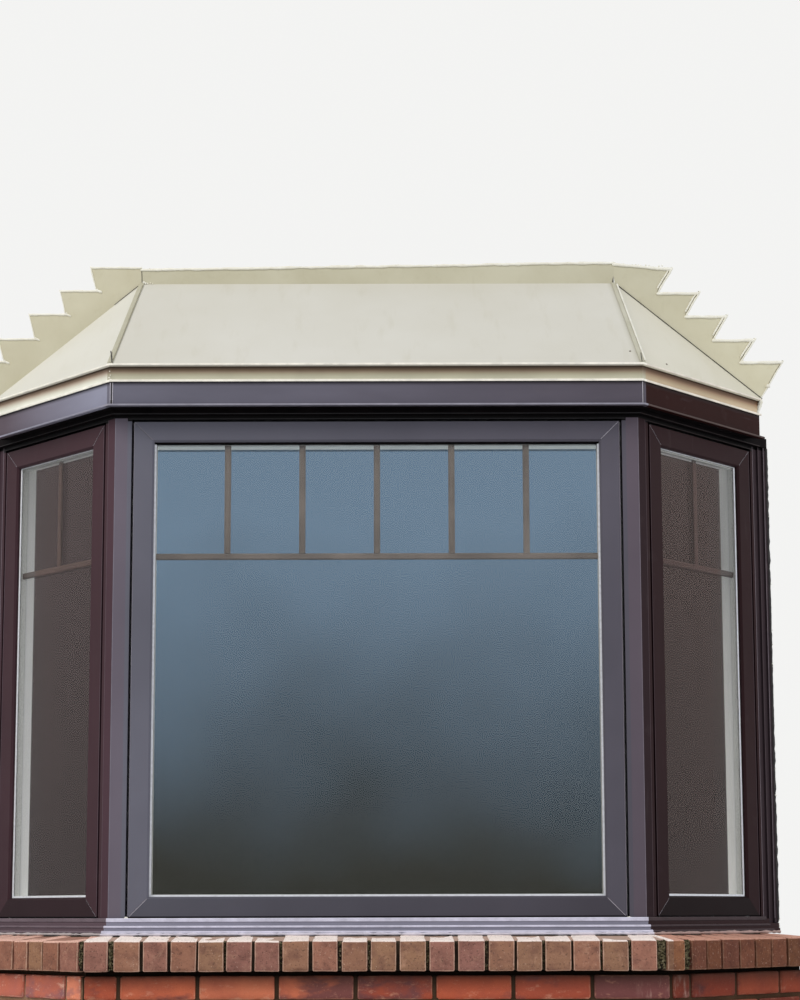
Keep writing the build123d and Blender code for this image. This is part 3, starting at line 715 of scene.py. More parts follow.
MATERIALS = {
    "red_brick": red_brick(),
    "common_brick": common_brick(),
    "sill_brick": sill_brick(),
    "mortar": mortar(),
    "dark_mortar": dark_mortar(),
    "moss": moss_green(),
    "brown_frame": brown_paint("brown_paint", PAINT, 2.6145),
    "sash": brown_paint("sash_paint", PAINT, 2.6145, sash=True),
    "jamb": brown_paint("jamb_paint", JAMB, 2.6225),
    "post": brown_paint("post_paint", POST, 2.6225),
    "nosing": brown_paint("nosing_paint", NOSING, 2.7, False),
    "brown_metal": brown_sheet("brown_sheet", SHEETS),
    # The nosing's lip colour is a painted highlight
    "lip": side_line("lip_highlight", LIP),
    "foot_bead": side_line("foot_bead", FOOT_BEAD),
    "fascia_lip": side_line("fascia_lip", FASCIA_LIP),
    "head_line": side_line("head_line", HEAD_LINE),
    "fine_line": side_line("fine_line", FINE_LINE),
    "bright_line": side_line("bright_line", BRIGHT_LINE),
    "fascia_edge": line_paint("fascia_edge", (176, 171, 178), (198, 193, 198)),
    # Near black: a painted shadow, on the head trim, at the top of the front's glass and in the
    # gaps under the sashes
    "recess": flecked(
        "black_recess", (20, 3), (0.35, 0.7), (13, 10, 11), (22, 17, 18), 0.6,
        Specular_IOR_Level=0.04,
    ),
    "band": band_sheet(),
    "hip": hip_sheet(),
    "cream_metal": cream_sheet(),
    "flashing_metal": flashing_sheet(),
    "sealant": sealant(),
    "black_sealant": flecked(
        "black_sealant", (60, 4, 0.6), (0.4, 0.7), (26, 22, 24), (48, 42, 42), 0.45, (0.5, 0.002),
    ),
    "glazing": glass_pane(),
    "spacer_bar": flecked(
        "spacer_metal", (300, 2), (0.4, 0.7), (214, 214, 208), (190, 190, 184), 0.38, (0.1, 0.0004),
    ),
    "bar": glazing_bar(),
    "tape": flecked("tape", (120, 3), (0.4, 0.75), (244, 245, 246), (222, 222, 222), 0.5),
    "pale_line": line_paint("pale_line", (172, 166, 174), (202, 196, 204)),
    "cream_line": line_paint("cream_line", (222, 218, 202), (236, 233, 220)),
    "olive_line": line_paint("olive_line", (136, 129, 104), (164, 157, 132)),
    "hem": side_line("hem", HEM),
    "dark_line": line_paint("dark_line", (30, 26, 24), (46, 40, 36)),
    "screw": flecked(
        "screw_metal", (500, 3), (0.35, 0.7), (136, 128, 112), (96, 88, 74), 0.4, metallic=0.7,
    ),
    "white_board": white_paint(),
    "timber": sawn_timber(),
}


class Side:
    """One side of the bay: a point by its place along, its distance outwards and its height."""

    def __init__(self, name, corner, along, out):
        self.name = name
        self.corner = Vector(corner)
        self.along = Vector(along)
        self.out = Vector(out)

    def point(self, t, d, z):
        """The point at a place along, a distance outwards and a height."""
        p = self.corner + self.along * t + self.out * d
        return Vector((p.x, p.y, z))

    def points(self, t, d, z):
        """The same for arrays of places, distances and heights."""
        t, d, z = np.broadcast_arrays(t, d, z)
        base = np.array(self.corner)[None, :]
        flat = base + np.outer(t, np.array(self.along)) + np.outer(d, np.array(self.out))
        return np.column_stack((flat, z))


SIDES = {
    "front": Side("front", (0, -CORNER_Y), (1, 0), (0, -1)),
    "right": Side("right", (CORNER_X, -CORNER_Y), (COS45, COS45), (COS45, -COS45)),
    "left": Side("left", (-CORNER_X, -CORNER_Y), (-COS45, COS45), (-COS45, -COS45)),
}


def piece(name, verts, faces, material, slot, smooth=True, values=None, replaces=()):
    """A new piece of the object in a named material, which rides on the part's one body."""
    mesh = bpy.data.meshes.new(name)
    mesh.from_pydata([tuple(map(float, v)) for v in verts], [], [tuple(f) for f in faces])
    for key, data in (values or {}).items():
        attribute = mesh.attributes.new(key, "FLOAT", "POINT")
        attribute.data.foreach_set("value", np.asarray(data, np.float32))
    bm = bmesh.new()
    bm.from_mesh(mesh)
    bmesh.ops.recalc_face_normals(bm, faces=bm.faces)
    bm.to_mesh(mesh)
    bm.free()
    mesh.polygons.foreach_set("use_smooth", [smooth] * len(mesh.polygons))
    mesh.materials.append(MATERIALS[material])
    obj = bpy.data.objects.new(name, mesh)
    bpy.context.scene.collection.objects.link(obj)
    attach(obj, "root")
    if replaces:
        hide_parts(*replaces)
    return obj


# Faces of a box whose points come by place, then distance, then height
BOX = [[0, 1, 3, 2], [4, 5, 7, 6], [0, 1, 5, 4], [2, 3, 7, 6], [0, 2, 6, 4], [1, 3, 7, 5]]


def ring_faces(rings, count):
    """Faces of a closed body of rings of points, with a cap at each end."""
    faces = []
    for ring in range(rings - 1):
        a, b = ring * count, (ring + 1) * count
        for k in range(count):
            j = (k + 1) % count
            faces.append([a + k, a + j, b + j, b + k])
    last = (rings - 1) * count
    return faces + [list(range(count)), list(range(last, last + count))]


class Shape:
    """Collects the points and faces of many small parts of one piece."""

    def __init__(self):
        self.verts = []
        self.faces = []
        self.values = {}

    def take(self, verts, faces, **values):
        """Adds a part, with values for its points."""
        start = len(self.verts)
        self.verts.extend(verts)
        self.faces.extend([[start + i for i in f] for f in faces])
        for key, data in values.items():
            self.values.setdefault(key, []).extend(data)

    def make(self, name, material, slot, **options):
        """Turns what was collected into a piece."""
        return piece(name, self.verts, self.faces, material, slot, values=self.values, **options)


def jitter(points, size, amount, seed):
    """Moves points by smooth noise; size is the length of a bump, in metres."""
    shift = Vector((seed * 3.7, seed * 1.3, seed * 2.1))
    moved = []
    for p in points:
        v = Vector(p)
        moved.append(v + noise.noise_vector(v / size + shift) * amount)
    return moved


# Bricks


def lattice(cells):
    """Surface points of a box of cells, as index triples, and its faces."""
    index, points, faces = {}, [], []

    def at(*key):
        if key not in index:
            index[key] = len(points)
            points.append(key)
        return index[key]

    for axis in range(3):
        a, b = [x for x in range(3) if x != axis]
        for end in (0, cells[axis]):
            for i in range(cells[a]):
                for j in range(cells[b]):
                    face = []
                    for di, dj in ((0, 0), (1, 0), (1, 1), (0, 1)):
                        key = [0, 0, 0]
                        key[axis], key[a], key[b] = end, i + di, j + dj
                        face.append(at(*key))
                    faces.append(face)
    return np.array(points), faces


LATTICES = {}
# Where the flanks meet the wall's face, along a flank at the plane of its units.
WALL_LINE = CORNER_Y / COS45 - 0.001


def brick(
    shape, side, start, end, reach, level, cells, seed,
    rough=1.0, tone=0.5, dark=0.0, edge=0.0045, light=1.0,
):
    """One brick with worn edges. start and end are (place, slope) over the distance outwards,
    reach is (inner, outer) distance, and level is (bottom, top at the inner side, top outside)."""
    if cells not in LATTICES:
        LATTICES[cells] = lattice(cells)
    grid, faces = LATTICES[cells]
    share, inset, extreme = [], [], np.zeros(len(grid))
    for axis in range(3):
        n = cells[axis]
        line = np.concatenate(([0.0], np.linspace(0, 1, n - 1), [1.0]))
        step = np.zeros(n + 1)
        step[1], step[-2] = edge, -edge
        share.append(line[grid[:, axis]])
        inset.append(step[grid[:, axis]])
        extreme += (grid[:, axis] == 0) | (grid[:, axis] == n)
    pull = np.where(extreme == 2, 0.3, np.where(extreme == 3, 0.45, 0)) * edge
    for axis in range(3):
        n = cells[axis]
        inset[axis] = inset[axis] + np.where(grid[:, axis] == 0, pull, 0)
        inset[axis] = inset[axis] - np.where(grid[:, axis] == n, pull, 0)
    d = reach[0] + share[1] * (reach[1] - reach[0]) + inset[1]
    first = start[0] + start[1] * d
    last = end[0] + end[1] * d
    t = first + share[0] * (last - first) + inset[0]
    if side.name != "front":
        t = np.minimum(t, WALL_LINE + d)
    depth_share = (d - reach[0]) / (reach[1] - reach[0])
    top = level[1] + (level[2] - level[1]) * depth_share
    z = level[0] + share[2] * (top - level[0]) + inset[2]
    points = side.points(t, d, z)
    centre = Vector(points.mean(0))
    shift = Vector((seed * 1.7, seed * 0.9, seed * 2.3))
    verts = []
    for p, e in zip(points, extreme):
        v = Vector(p)
        v += noise.noise_vector(v * 14 + shift) * 0.0011 * rough
        v += noise.noise_vector(v * 90 + shift) * 0.0004 * rough
        if e >= 2:
            chip = max(0.0, noise.noise(v * 38 + shift) - 0.12) * 2 * edge * rough
            v += (centre - v).normalized() * chip
        verts.append(v)
    on_top = (grid[:, 2] == cells[2]).astype(float)
    count = len(verts)
    shape.take(
        verts, faces,
        edge=np.clip(extreme - 1, 0, 1).tolist(),
        top=on_top.tolist(),
        tone=[tone] * count,
        dark=[dark] * count,
        light=[light] * count,
    )


PERPEND = 0.0105
BED = 0.0115
rng = random.Random(11)


def laid(joints, first_line, last_line, gap):
    """(start, end) lines of the bricks between two end lines, with joints at fixed places."""
    lines = [(first_line, 0.0)] + [((j, 0.0), gap / 2) for j in joints] + [(last_line, 0.0)]
    found = []
    for (a, half_a), (b, half_b) in zip(lines, lines[1:]):
        found.append(((a[0] + half_a, a[1]), (b[0] - half_b, b[1])))
    return found


def end_lines(side, gap):
    """The lines at a run's two ends: mitres at the corners, and the plane of the wall's face."""
    if side.name == "front":
        return (-CORNER_X + gap / 2, -MITRE), (CORNER_X - gap / 2, MITRE)
    return (gap / 2, -MITRE), (WALL_LINE, 1.0)


def perpends(side, course, out):
    """Places of the upright joints of a course of the base."""
    odd = course % 2
    if side.name == "front":
        first = -0.6617 if odd else -0.5606
        return [first + 0.2022 * k for k in range(7)]
    corner, second = (0.0703, 0.2540) if side.name == "left" else (0.0810, 0.2827)
    places = [corner] + [second + 0.2 * k for k in range(8)]
    if not odd:
        places = [second - 0.1 + 0.2 * k for k in range(8)]
    stop = CORNER_Y / COS45 + out - 0.04
    return [p - MITRE * out for p in places if p - MITRE * out < stop]


# Tone and darkness of three bricks that stand out in the top course of the front.
TOP_COURSE = {1: (0.85, 0.0), 4: (0.2, 1.0), 7: (0.0, 2.4)}


def base_bricks(side):
    """The outer leaf of brick below the sill, in running bond."""
    shape = Shape()
    ends = end_lines(side, PERPEND)
    for course in range(16):
        level = (COURSE * course, COURSE * (course + 1) - BED, COURSE * (course + 1) - BED)
        row = laid(perpends(side, course, BASE_OUT), *ends, PERPEND)
        for place, (start, end) in enumerate(row):
            dark = rng.choice((0, 0, 0, 0, 0.5, 1.0))
            out = BASE_OUT + rng.uniform(-0.0012, 0.0006)
            seed, tone = rng.uniform(0, 90), rng.random()
            if course == 15 and side.name == "front":
                tone, dark = TOP_COURSE.get(place, (tone, dark))
            near = OUTER_LEAF
            if side.name != "front":
                near = max(near, start[0] - WALL_LINE + 0.004)
            brick(
                shape, side, start, end, (near, out), level, (12, 5, 5), seed,
                tone=tone, dark=dark,
            )
    return shape.make(
        f"base_bricks_{side.name}", "red_brick", "red_brick",
        replaces=[f"base_wall_{side.name}"],
    )


def inner_bricks(side):
    """The inner leaf, which shows from behind."""
    shape = Shape()
    ends = end_lines(side, PERPEND)
    for course in range(17):
        level = (COURSE * course, COURSE * (course + 1) - BED, COURSE * (course + 1) - BED)
        for start, end in laid(perpends(side, course + 1, INNER_LEAF), *ends, PERPEND):
            short = end[0] + end[1] * INNER_LEAF - start[0] - start[1] * INNER_LEAF
            if short < 0.03:
                continue
            brick(
                shape, side, start, end, (INNER_LEAF, 0.012), level, (5, 3, 3),
                rng.uniform(0, 90), rough=1.5, tone=rng.random() * 0.6, dark=0.3,
            )
    return shape.make(f"inner_bricks_{side.name}", "common_brick", "red_brick")


WINDOW = (CORNER_X, CORNER_Y)
ROOF = (CORNER_X - 0.01, CORNER_Y + 0.01)


def plan_point(d, station, back=0.0, corner=WINDOW, stop=None):
    """A plan point at distance d: 0 left end, 1 left corner, 2 right corner, 3 right end.
    The ends lie on the plane Y = back, or else at a place along the flank."""
    x = corner[0] + d * MITRE
    if station in (1, 2):
        return ((-x if station == 1 else x), -corner[1] - d)
    y = back
    end = x + (corner[1] + d + back)
    if stop is not None:
        end = corner[0] + COS45 * (stop + d)
        y = -corner[1] + COS45 * (stop - d)
    return ((-end if station == 0 else end), y)


def mitred_run(section, back=0.0, cuts=1, corner=WINDOW, stop=None):
    """Points and faces of one closed body that follows the bay's three sides."""
    rows = []
    for station in range(4):
        rows.append([Vector((*plan_point(d, station, back, corner, stop), z)) for d, z in section])
    stations = []
    for a, b in zip(rows, rows[1:]):
        for k in range(cuts):
            stations.append([p.lerp(q, k / cuts) for p, q in zip(a, b)])
    stations.append(rows[-1])
    return [p for row in stations for p in row], ring_faces(len(stations), len(section))


def mortar_run(name, section, cuts, rough, material, slot):
    """A rough core of mortar along the bay, clear of the wall and the ground."""
    verts, faces = mitred_run(section, -0.003, cuts)
    verts = [Vector((v.x, min(v.y, -0.001), max(v.z, 0.0))) for v in jitter(verts, *rough)]
    return piece(name, verts, faces, material, slot, smooth=False)


def base_mortar():
    """The joints of the base: a core a little inside both brick faces."""
    out, inside = BASE_OUT - 0.0065, INNER_LEAF + 0.005
    section = [
        (out, 0.0), (out, SILL_SEAT - BED - 0.001), (out - 0.014, SILL_SEAT - BED - 0.001),
        (out - 0.014, SILL_SEAT), (OUTER_LEAF, SILL_SEAT), (OUTER_LEAF, SEAT_BOTTOM),
        (inside, SEAT_BOTTOM), (inside, 0.0),
    ]
    return mortar_run("base_mortar", section, 30, (0.03, 0.0012, 5), "mortar", "red_brick")


def sill_level(d, drop=0.0):
    """Height of the sloping top of the brick sill at a distance outwards."""
    share = (SILL_OUT - d) / (SILL_OUT - OUTER_LEAF)
    return SILL_SEAT + SILL_HEIGHT + 0.013 * share - drop


# Upright joints of the brick sill: place along the face and width, or on a flank only the place
FRONT_JOINTS = [
    (-0.6795, 0.0150), (-0.6017, 0.0090), (-0.5315, 0.0075), (-0.4588, 0.0060), (-0.3886, 0.0070),
    (-0.3171, 0.0070), (-0.2456, 0.0100), (-0.1691, 0.0100), (-0.0950, 0.0100), (-0.0197, 0.0085),
    (0.0543, 0.0085), (0.1297, 0.0100), (0.2037, 0.0100), (0.2803, 0.0100), (0.3543, 0.0070),
    (0.4271, 0.0085), (0.4999, 0.0070), (0.5740, 0.0070), (0.6467, 0.0085),
]
RIGHT_JOINTS = [0.1369, 0.2028, 0.2812, 0.3520, 0.4274, 0.5049, 0.5800, 0.6550, 0.7300]
LEFT_JOINTS = [0.0835, 0.1576, 0.2250, 0.2912, 0.3612, 0.4312, 0.5012, 0.5712, 0.6412, 0.7112]


def sill_bricks(side):
    """The course of bricks on edge under the window."""
    shape = Shape()
    corner = SILL_OUT * MITRE
    # Painted light: a brightness for each side, carried on the bricks' points
    light = {"front": 1.08, "left": 1.02, "right": 0.60}[side.name]
    spans = []
    if side.name == "front":
        spans.append((-0.7497, FRONT_JOINTS[0][0] - FRONT_JOINTS[0][1] / 2))
        for (a, gap_a), (b, gap_b) in zip(FRONT_JOINTS, FRONT_JOINTS[1:]):
            spans.append((a + gap_a / 2, b - gap_b / 2))
        spans.append((0.6510, 0.7157))
        dark = 0.0
    else:
        joints = RIGHT_JOINTS if side.name == "right" else LEFT_JOINTS
        first = 0.0722 if side.name == "right" else 0.004
        # Painted shade on the flanks' bricks, deeper on the right
        dark = 0.55 if side.name == "right" else 0.1
        for a, b in zip([first - 0.0035] + joints, joints):
            spans.append((a + 0.0035 - corner, b - 0.0035 - corner))
    for a, b in spans:
        if side.name != "front" and a > WALL_LINE + SILL_OUT - 0.01:
            continue
        a += rng.uniform(-0.0008, 0.0008)
        b += rng.uniform(-0.0008, 0.0008)
        out = SILL_OUT + rng.uniform(-0.0025, 0.0)
        lift = rng.uniform(-0.0018, 0.0005)
        end = (b, 0.0)
        if side.name != "front" and b > WALL_LINE + OUTER_LEAF:
            end = (WALL_LINE, 1.0)
        level = (SILL_SEAT, SEAT_BOTTOM - 0.001 + lift, SILL_SEAT + SILL_HEIGHT + lift)
        start = (a, 0.0)
        if side.name == "left" and a < 0:
            start = (0.003, -MITRE)
        reach = (0.028, out)
        # On a flank the painted shade wavers brick by brick; on the front this is a random darker
        # tone
        shade = dark + rng.uniform(-0.25, 0.25) if dark else rng.choice((0, 0, 0.15))
        brick(
            shape, side, start, end, reach, level, (8, 9, 8), rng.uniform(0, 90),
            tone=rng.random(), dark=shade, edge=0.0032, light=light,
        )
    if side.name == "right":
        # A cut brick stands across the mitre of this corner
        tip = Vector((CORNER_X + corner, -CORNER_Y - SILL_OUT))
        out = Vector((math.sin(HALF_TURN), -math.cos(HALF_TURN)))
        across = Vector((math.cos(HALF_TURN), math.sin(HALF_TURN)))
        wedge = Side("wedge", tip - out * (SILL_OUT + 0.0104), across, out)
        level = (SILL_SEAT, SEAT_BOTTOM - 0.001, SILL_SEAT + 0.0775)
        reach = (0.035, SILL_OUT)
        brick(
            shape, wedge, (-0.0170, 0.0), (0.0335, 0.0), reach, level, (8, 9, 8), 33.0,
            tone=0.98, dark=0.3, edge=0.0032, light=0.86,
        )
    return shape.make(
        f"sill_bricks_{side.name}", "sill_brick", "sill_brick",
        replaces=[f"rowlock_sill_{side.name}"],
    )


def sill_mortar():
    """The joints of the brick sill, raked well back between the faces."""
    out = SILL_OUT - 0.0115
    section = [
        (OUTER_LEAF, SILL_SEAT), (out - 0.004, SILL_SEAT + 0.002), (out, SILL_SEAT + 0.02),
        (out, SILL_SEAT + 0.070), (out - 0.003, sill_level(out - 0.003, 0.003)),
        (out - 0.010, sill_level(out - 0.010, 0.002)), (0.07, sill_level(0.07, 0.0018)),
        (OUTER_LEAF, SEAT_BOTTOM - 0.001),
    ]
    return mortar_run("sill_mortar", section, 60, (0.02, 0.0012, 8), "dark_mortar", "sill_brick")


def lump_template():
    """Points and faces of a round lump of radius 1."""
    bm = bmesh.new()
    bmesh.ops.create_icosphere(bm, subdivisions=2, radius=1.0)
    verts = [v.co.copy() for v in bm.verts]
    faces = [[v.index for v in f.verts] for f in bm.faces]
    bm.free()
    return verts, faces


LUMP = lump_template()


def lumps(name, places, material, slot, flat=0.6):
    """Many small irregular lumps, at (point, radius) places."""
    shape = Shape()
    for k, (p, radius) in enumerate(places):
        shift = Vector((k * 1.9, k * 0.7, k * 3.1))
        verts = []
        for v in LUMP[0]:
            r = radius * (1 + 0.55 * noise.noise(v * 1.7 + shift))
            verts.append(Vector(p) + Vector((v.x * r, v.y * r * flat, v.z * r)))
        shape.take(verts, LUMP[1])
    return shape.make(name, material, slot)


def moss():
    """Moss in the joints of the sill, thickest near the corners."""
    places = []
    rnd = random.Random(4)
    front, right = SIDES["front"], SIDES["right"]
    corner = SILL_OUT * MITRE
    spots = [
        (front, 0.7265, 0.0105, 150), (right, 0.057 - corner, 0.013, 130),
        (front, -0.6795, 0.0065, 80), (front, -0.757, 0.005, 60),
        (front, 0.6467, 0.003, 30), (front, 0.1297, 0.0035, 30), (front, -0.0197, 0.003, 24),
        (front, -0.2456, 0.0035, 30), (front, 0.4271, 0.003, 24), (front, -0.3886, 0.0025, 20),
        (front, 0.5740, 0.0025, 20), (front, -0.0950, 0.0035, 20), (front, 0.2803, 0.0035, 20),
    ]
    for side, t, half, count in spots:
        for _ in range(count):
            z = SILL_SEAT + 0.004 + rnd.random() ** 0.8 * 0.072
            d = SILL_OUT - 0.0105 + rnd.uniform(-0.002, 0.002)
            place = side.point(t + rnd.uniform(-half, half), d, z)
            places.append((place, rnd.uniform(0.0014, 0.0034)))
    return lumps("moss", places, "moss", "sill_brick", 0.8)


# Glazing bars between the panes, and the pale tape round each pane


def block(shape, side, t, d, z):
    """A box on a side of the bay between pairs of places, distances and heights."""
    verts = [side.point(t[i], d[j], z[k]) for i in (0, 1) for j in (0, 1) for k in (0, 1)]
    shape.take(verts, BOX)


def blocks_around(shape, half, flank, d, z):
    """A box across the front, of half a width, and one on each flank between two places."""
    block(shape, SIDES["front"], (-half, half), d, z)
    for name in ("left", "right"):
        block(shape, SIDES[name], flank, d, z)


def flat_bar(shape, side, a, b, upright):
    """A flat bar with sloped edges, between two (place, height) points, in the gap of the panes."""
    half, thin, thick, depth = 0.0085, 0.0018, 0.0034, PANE_SPLIT
    profile = [(-half, -thin), (-half + 0.003, -thick), (half - 0.003, -thick), (half, -thin)]
    profile += [(half, thin), (half - 0.003, thick), (-half + 0.003, thick), (-half, thin)]
    verts = []
    for t, z in (a, b):
        for across, out in profile:
            place = (t + across, z) if upright else (t, z + across)
            verts.append(side.point(place[0], depth + out, place[1]))
    shape.take(verts, ring_faces(2, len(profile)))


BAR_LEVEL = 2.2467
TOP_SIGHT = SASH_BOTTOM + SASH_HEIGHT - SASH_FACE
FOOT_SIGHT = SASH_BOTTOM + SASH_FACE


def sight(side):
    """The two places along a side between which its glass shows."""
    if side.name == "front":
        half = FRONT_SASH / 2 - SASH_FACE
        return -half, half
    return FLANK_START + SASH_FACE, FLANK_START + FLANK_SASH - SASH_FACE


def glazing_bars(side):
    """The bars of one side: one across, and uprights above it."""
    shape = Shape()
    a, b = sight(side)
    grow = 0.003
    flat_bar(shape, side, (a - grow, BAR_LEVEL), (b + grow, BAR_LEVEL), False)
    places = [-0.404, -0.202, 0, 0.202, 0.404] if side.name == "front" else [(a + b) / 2]
    for t in places:
        flat_bar(shape, side, (t, BAR_LEVEL + 0.0086), (t, TOP_SIGHT + grow), True)
    return shape.make(f"glazing_bars_{side.name}", "bar", "spacer_bar", smooth=False)


def glazing_tape(side):
    """The pale tape round the outer pane; over the front's top a dark strip in its place, a painted
    shadow under the head.
    """
    shape = Shape()
    a, b = sight(side)
    face, wide, thick = -0.014, 0.0052, 0.0022
    d = (face, face + thick)
    block(shape, side, (a, b), d, (FOOT_SIGHT, FOOT_SIGHT + wide))
    if side.name == "front":
        # Painted shadow: a dark strip along the top of the front's glass, under the head
        top_shade = Shape()
        block(top_shade, side, (a, b), (face, face + 0.0030), (TOP_SIGHT - 0.0048, TOP_SIGHT))
        top_shade.make("glazing_top_shade", "recess", "brown_frame", smooth=False)
    else:
        block(shape, side, (a, b), d, (TOP_SIGHT - wide * 0.4, TOP_SIGHT))
    block(shape, side, (a, a + wide), d, (FOOT_SIGHT + wide, TOP_SIGHT - wide * 0.4))
    block(shape, side, (b - wide, b), d, (FOOT_SIGHT + wide, TOP_SIGHT - wide * 0.4))
    return shape.make(f"glazing_tape_{side.name}", "tape", "spacer_bar", smooth=False)


def mitre_lines(side):
    """The fine welded joints at the corners of a sash, each drawn as a painted highlight beside a
    painted shadow line.
    """
    light, dark = Shape(), Shape()
    a, b = sight(side)
    proud = 0.0002
    reach = SASH_FACE - 0.001
    for t, away in ((a, -1), (b, 1)):
        for z, up in ((FOOT_SIGHT, -1), (TOP_SIGHT, 1)):
            if side.name != "front" and away > 0 > up:
                continue
            inner = (t + away * 0.005, z + up * 0.005)
            outer = (t + away * reach, z + up * reach)
            slant = Vector((outer[0] - inner[0], outer[1] - inner[1])).normalized()
            across = Vector((-slant.y, slant.x)) * (1 if up > 0 else -1) * away
            widths = (0.0011, 0.0009) if side.name == "front" else (0.0004, 0.0009)
            if side.name == "front" and up > 0 > away:
                widths = (0.0005, 0.0015)
            for shape, near, far in ((light, 0.0, widths[0]), (dark, -widths[1], 0.0)):
                offs = (across * near, across * far)
                corners = [Vector(end) + off for end in (inner, outer) for off in offs]
                verts = [side.point(p.x, d, p.y) for d in (proud, -0.0003) for p in corners]
                shape.take(verts, BOX)
    light.make(f"mitre_light_{side.name}", "pale_line", "brown_frame", smooth=False)
    dark.make(f"mitre_dark_{side.name}", "dark_line", "brown_frame", smooth=False)


# Flashings on the wall, with folded rims and sealant

# Level of the top step, and where the sheets end at the eave
STEP_TOP = 3.1565
SHEET_END = 1.1035


def roof_edge_x(level):
    """Where the flank roof's edge meets the wall, at a level."""
    return ROOF_HALF + (EAVE_END_X - ROOF_HALF) * (ROOF_TOP - level) / ROOF_RISE


def step_outline(reach, taper, lean, rise, shifts):
    """The stepped edge from the top down, as (x, z) points, each a little off its course."""
    points = [(ROOF_HALF, STEP_TOP + rise)]
    for k in range(5):
        level = STEP_TOP - COURSE * k
        tip = roof_edge_x(level - COURSE) + reach - taper * k
        points.append((tip, level + shifts[k]))
        if k < 4:
            points.append((tip - lean, level - COURSE + shifts[k + 1]))
    points.append((SHEET_END, EAVE_LEVEL))
    return points


def waver(points, seed, step=0.009, amount=0.0018):
    """Cuts an outline finer and makes it waver as a hand-cut edge does."""
    found = []
    for a, b in zip(points, points[1:]):
        a, b = Vector(a), Vector(b)
        count = max(1, round((b - a).length / step))
        found.extend(a.lerp(b, k / count) for k in range(count))
    found.append(Vector(points[-1]))
    moved = []
    for p in found:
        q = Vector((p.x, 0, p.y))
        shift = noise.noise_vector(q * 21 + Vector((seed, 0, seed))) * amount
        shift += noise.noise_vector(q * 90 + Vector((0, seed, 0))) * amount * 0.35
        moved.append(Vector((p.x + shift.x, p.y + shift.z)))
    return moved


def plate(shape, outline, front, back):
    """A flat plate on an outline of (x, z) points, between two Y planes."""
    n = len(outline)
    verts = [Vector((p[0], y, p[1])) for y in (front, back) for p in outline]
    flat = [Vector((p[0], p[1], 0)) for p in outline]
    tris = geometry.tessellate_polygon([flat])
    faces = [list(t) for t in tris] + [[n + i for i in t] for t in tris]
    faces += [[i, (i + 1) % n, n + (i + 1) % n, n + i] for i in range(n)]
    shape.take(verts, faces)


def strip(shape, line, near, far, front, back):
    """A ribbon along a line of (x, z) points, between two offsets to its right."""
    rows = []
    for i, p in enumerate(line):
        before = line[max(i - 1, 0)]
        after = line[min(i + 1, len(line) - 1)]
        run = (after - before).normalized()
        side = Vector((run.y, -run.x))
        rows.append((p + side * near, p + side * far))
    verts = []
    for a, b in rows:
        for y in (front, back):
            verts.append(Vector((a.x, y, a.y)))
            verts.append(Vector((b.x, y, b.y)))
    faces = []
    for i in range(len(rows) - 1):
        s, e = i * 4, i * 4 + 4
        faces += [[s, s + 1, e + 1, e], [s + 2, s + 3, e + 3, e + 2]]
        faces += [[s, s + 2, e + 2, e], [s + 1, s + 3, e + 3, e + 1]]
    last = (len(rows) - 1) * 4
    faces += [[0, 1, 3, 2], [last, last + 1, last + 3, last + 2]]
    shape.take(verts, faces)


def bead(shape, path, radius, uneven, seed, squash=1.0):
    """A lumpy bead with rounded ends along a path of 3-D points."""
    ring = 7
    path = [Vector(p) for p in path]
    first = (path[0] - path[1]).normalized()
    last = (path[-1] - path[-2]).normalized()
    points = [(path[0] + first * radius * 0.9, 0.25), (path[0] + first * radius * 0.5, 0.75)]
    points += [(p, 1.0) for p in path]
    points += [(path[-1] + last * radius * 0.5, 0.75), (path[-1] + last * radius * 0.9, 0.25)]
    verts = []
    for i, (point, share) in enumerate(points):
        run = (points[min(i + 1, len(points) - 1)][0] - points[max(i - 1, 0)][0]).normalized()
        a = run.cross(Vector((0, 1, 0)))
        a = a.normalized() if a.length > 1e-6 else Vector((1, 0, 0))
        b = run.cross(a).normalized()
        grow = 1 + uneven * noise.noise(point * 55 + Vector((seed, seed, 0)))
        grow *= 1 + 0.5 * uneven * noise.noise(point * 160 + Vector((0, seed, 0)))
        r = radius * grow * share
        for k in range(ring):
            angle = 2 * math.pi * k / ring
            verts.append(point + a * math.cos(angle) * r + b * math.sin(angle) * r * squash)
    shape.take(verts, ring_faces(len(points), ring))


SHEET = 0.0025


def inward(line, off):
    """A line of (x, z) points moved to its right-hand side, which is the sheet's inside."""
    moved = []
    for i, p in enumerate(line):
        run = (line[min(i + 1, len(line) - 1)] - line[max(i - 1, 0)]).normalized()
        moved.append(p + Vector((run.y, -run.x)) * off)
    return moved


def on_wall(line, sign, proud=0.0030):
    """3-D points just in front of the wall sheets on one side of the roof."""
    return [Vector((sign * p.x, -proud, p.y)) for p in line]


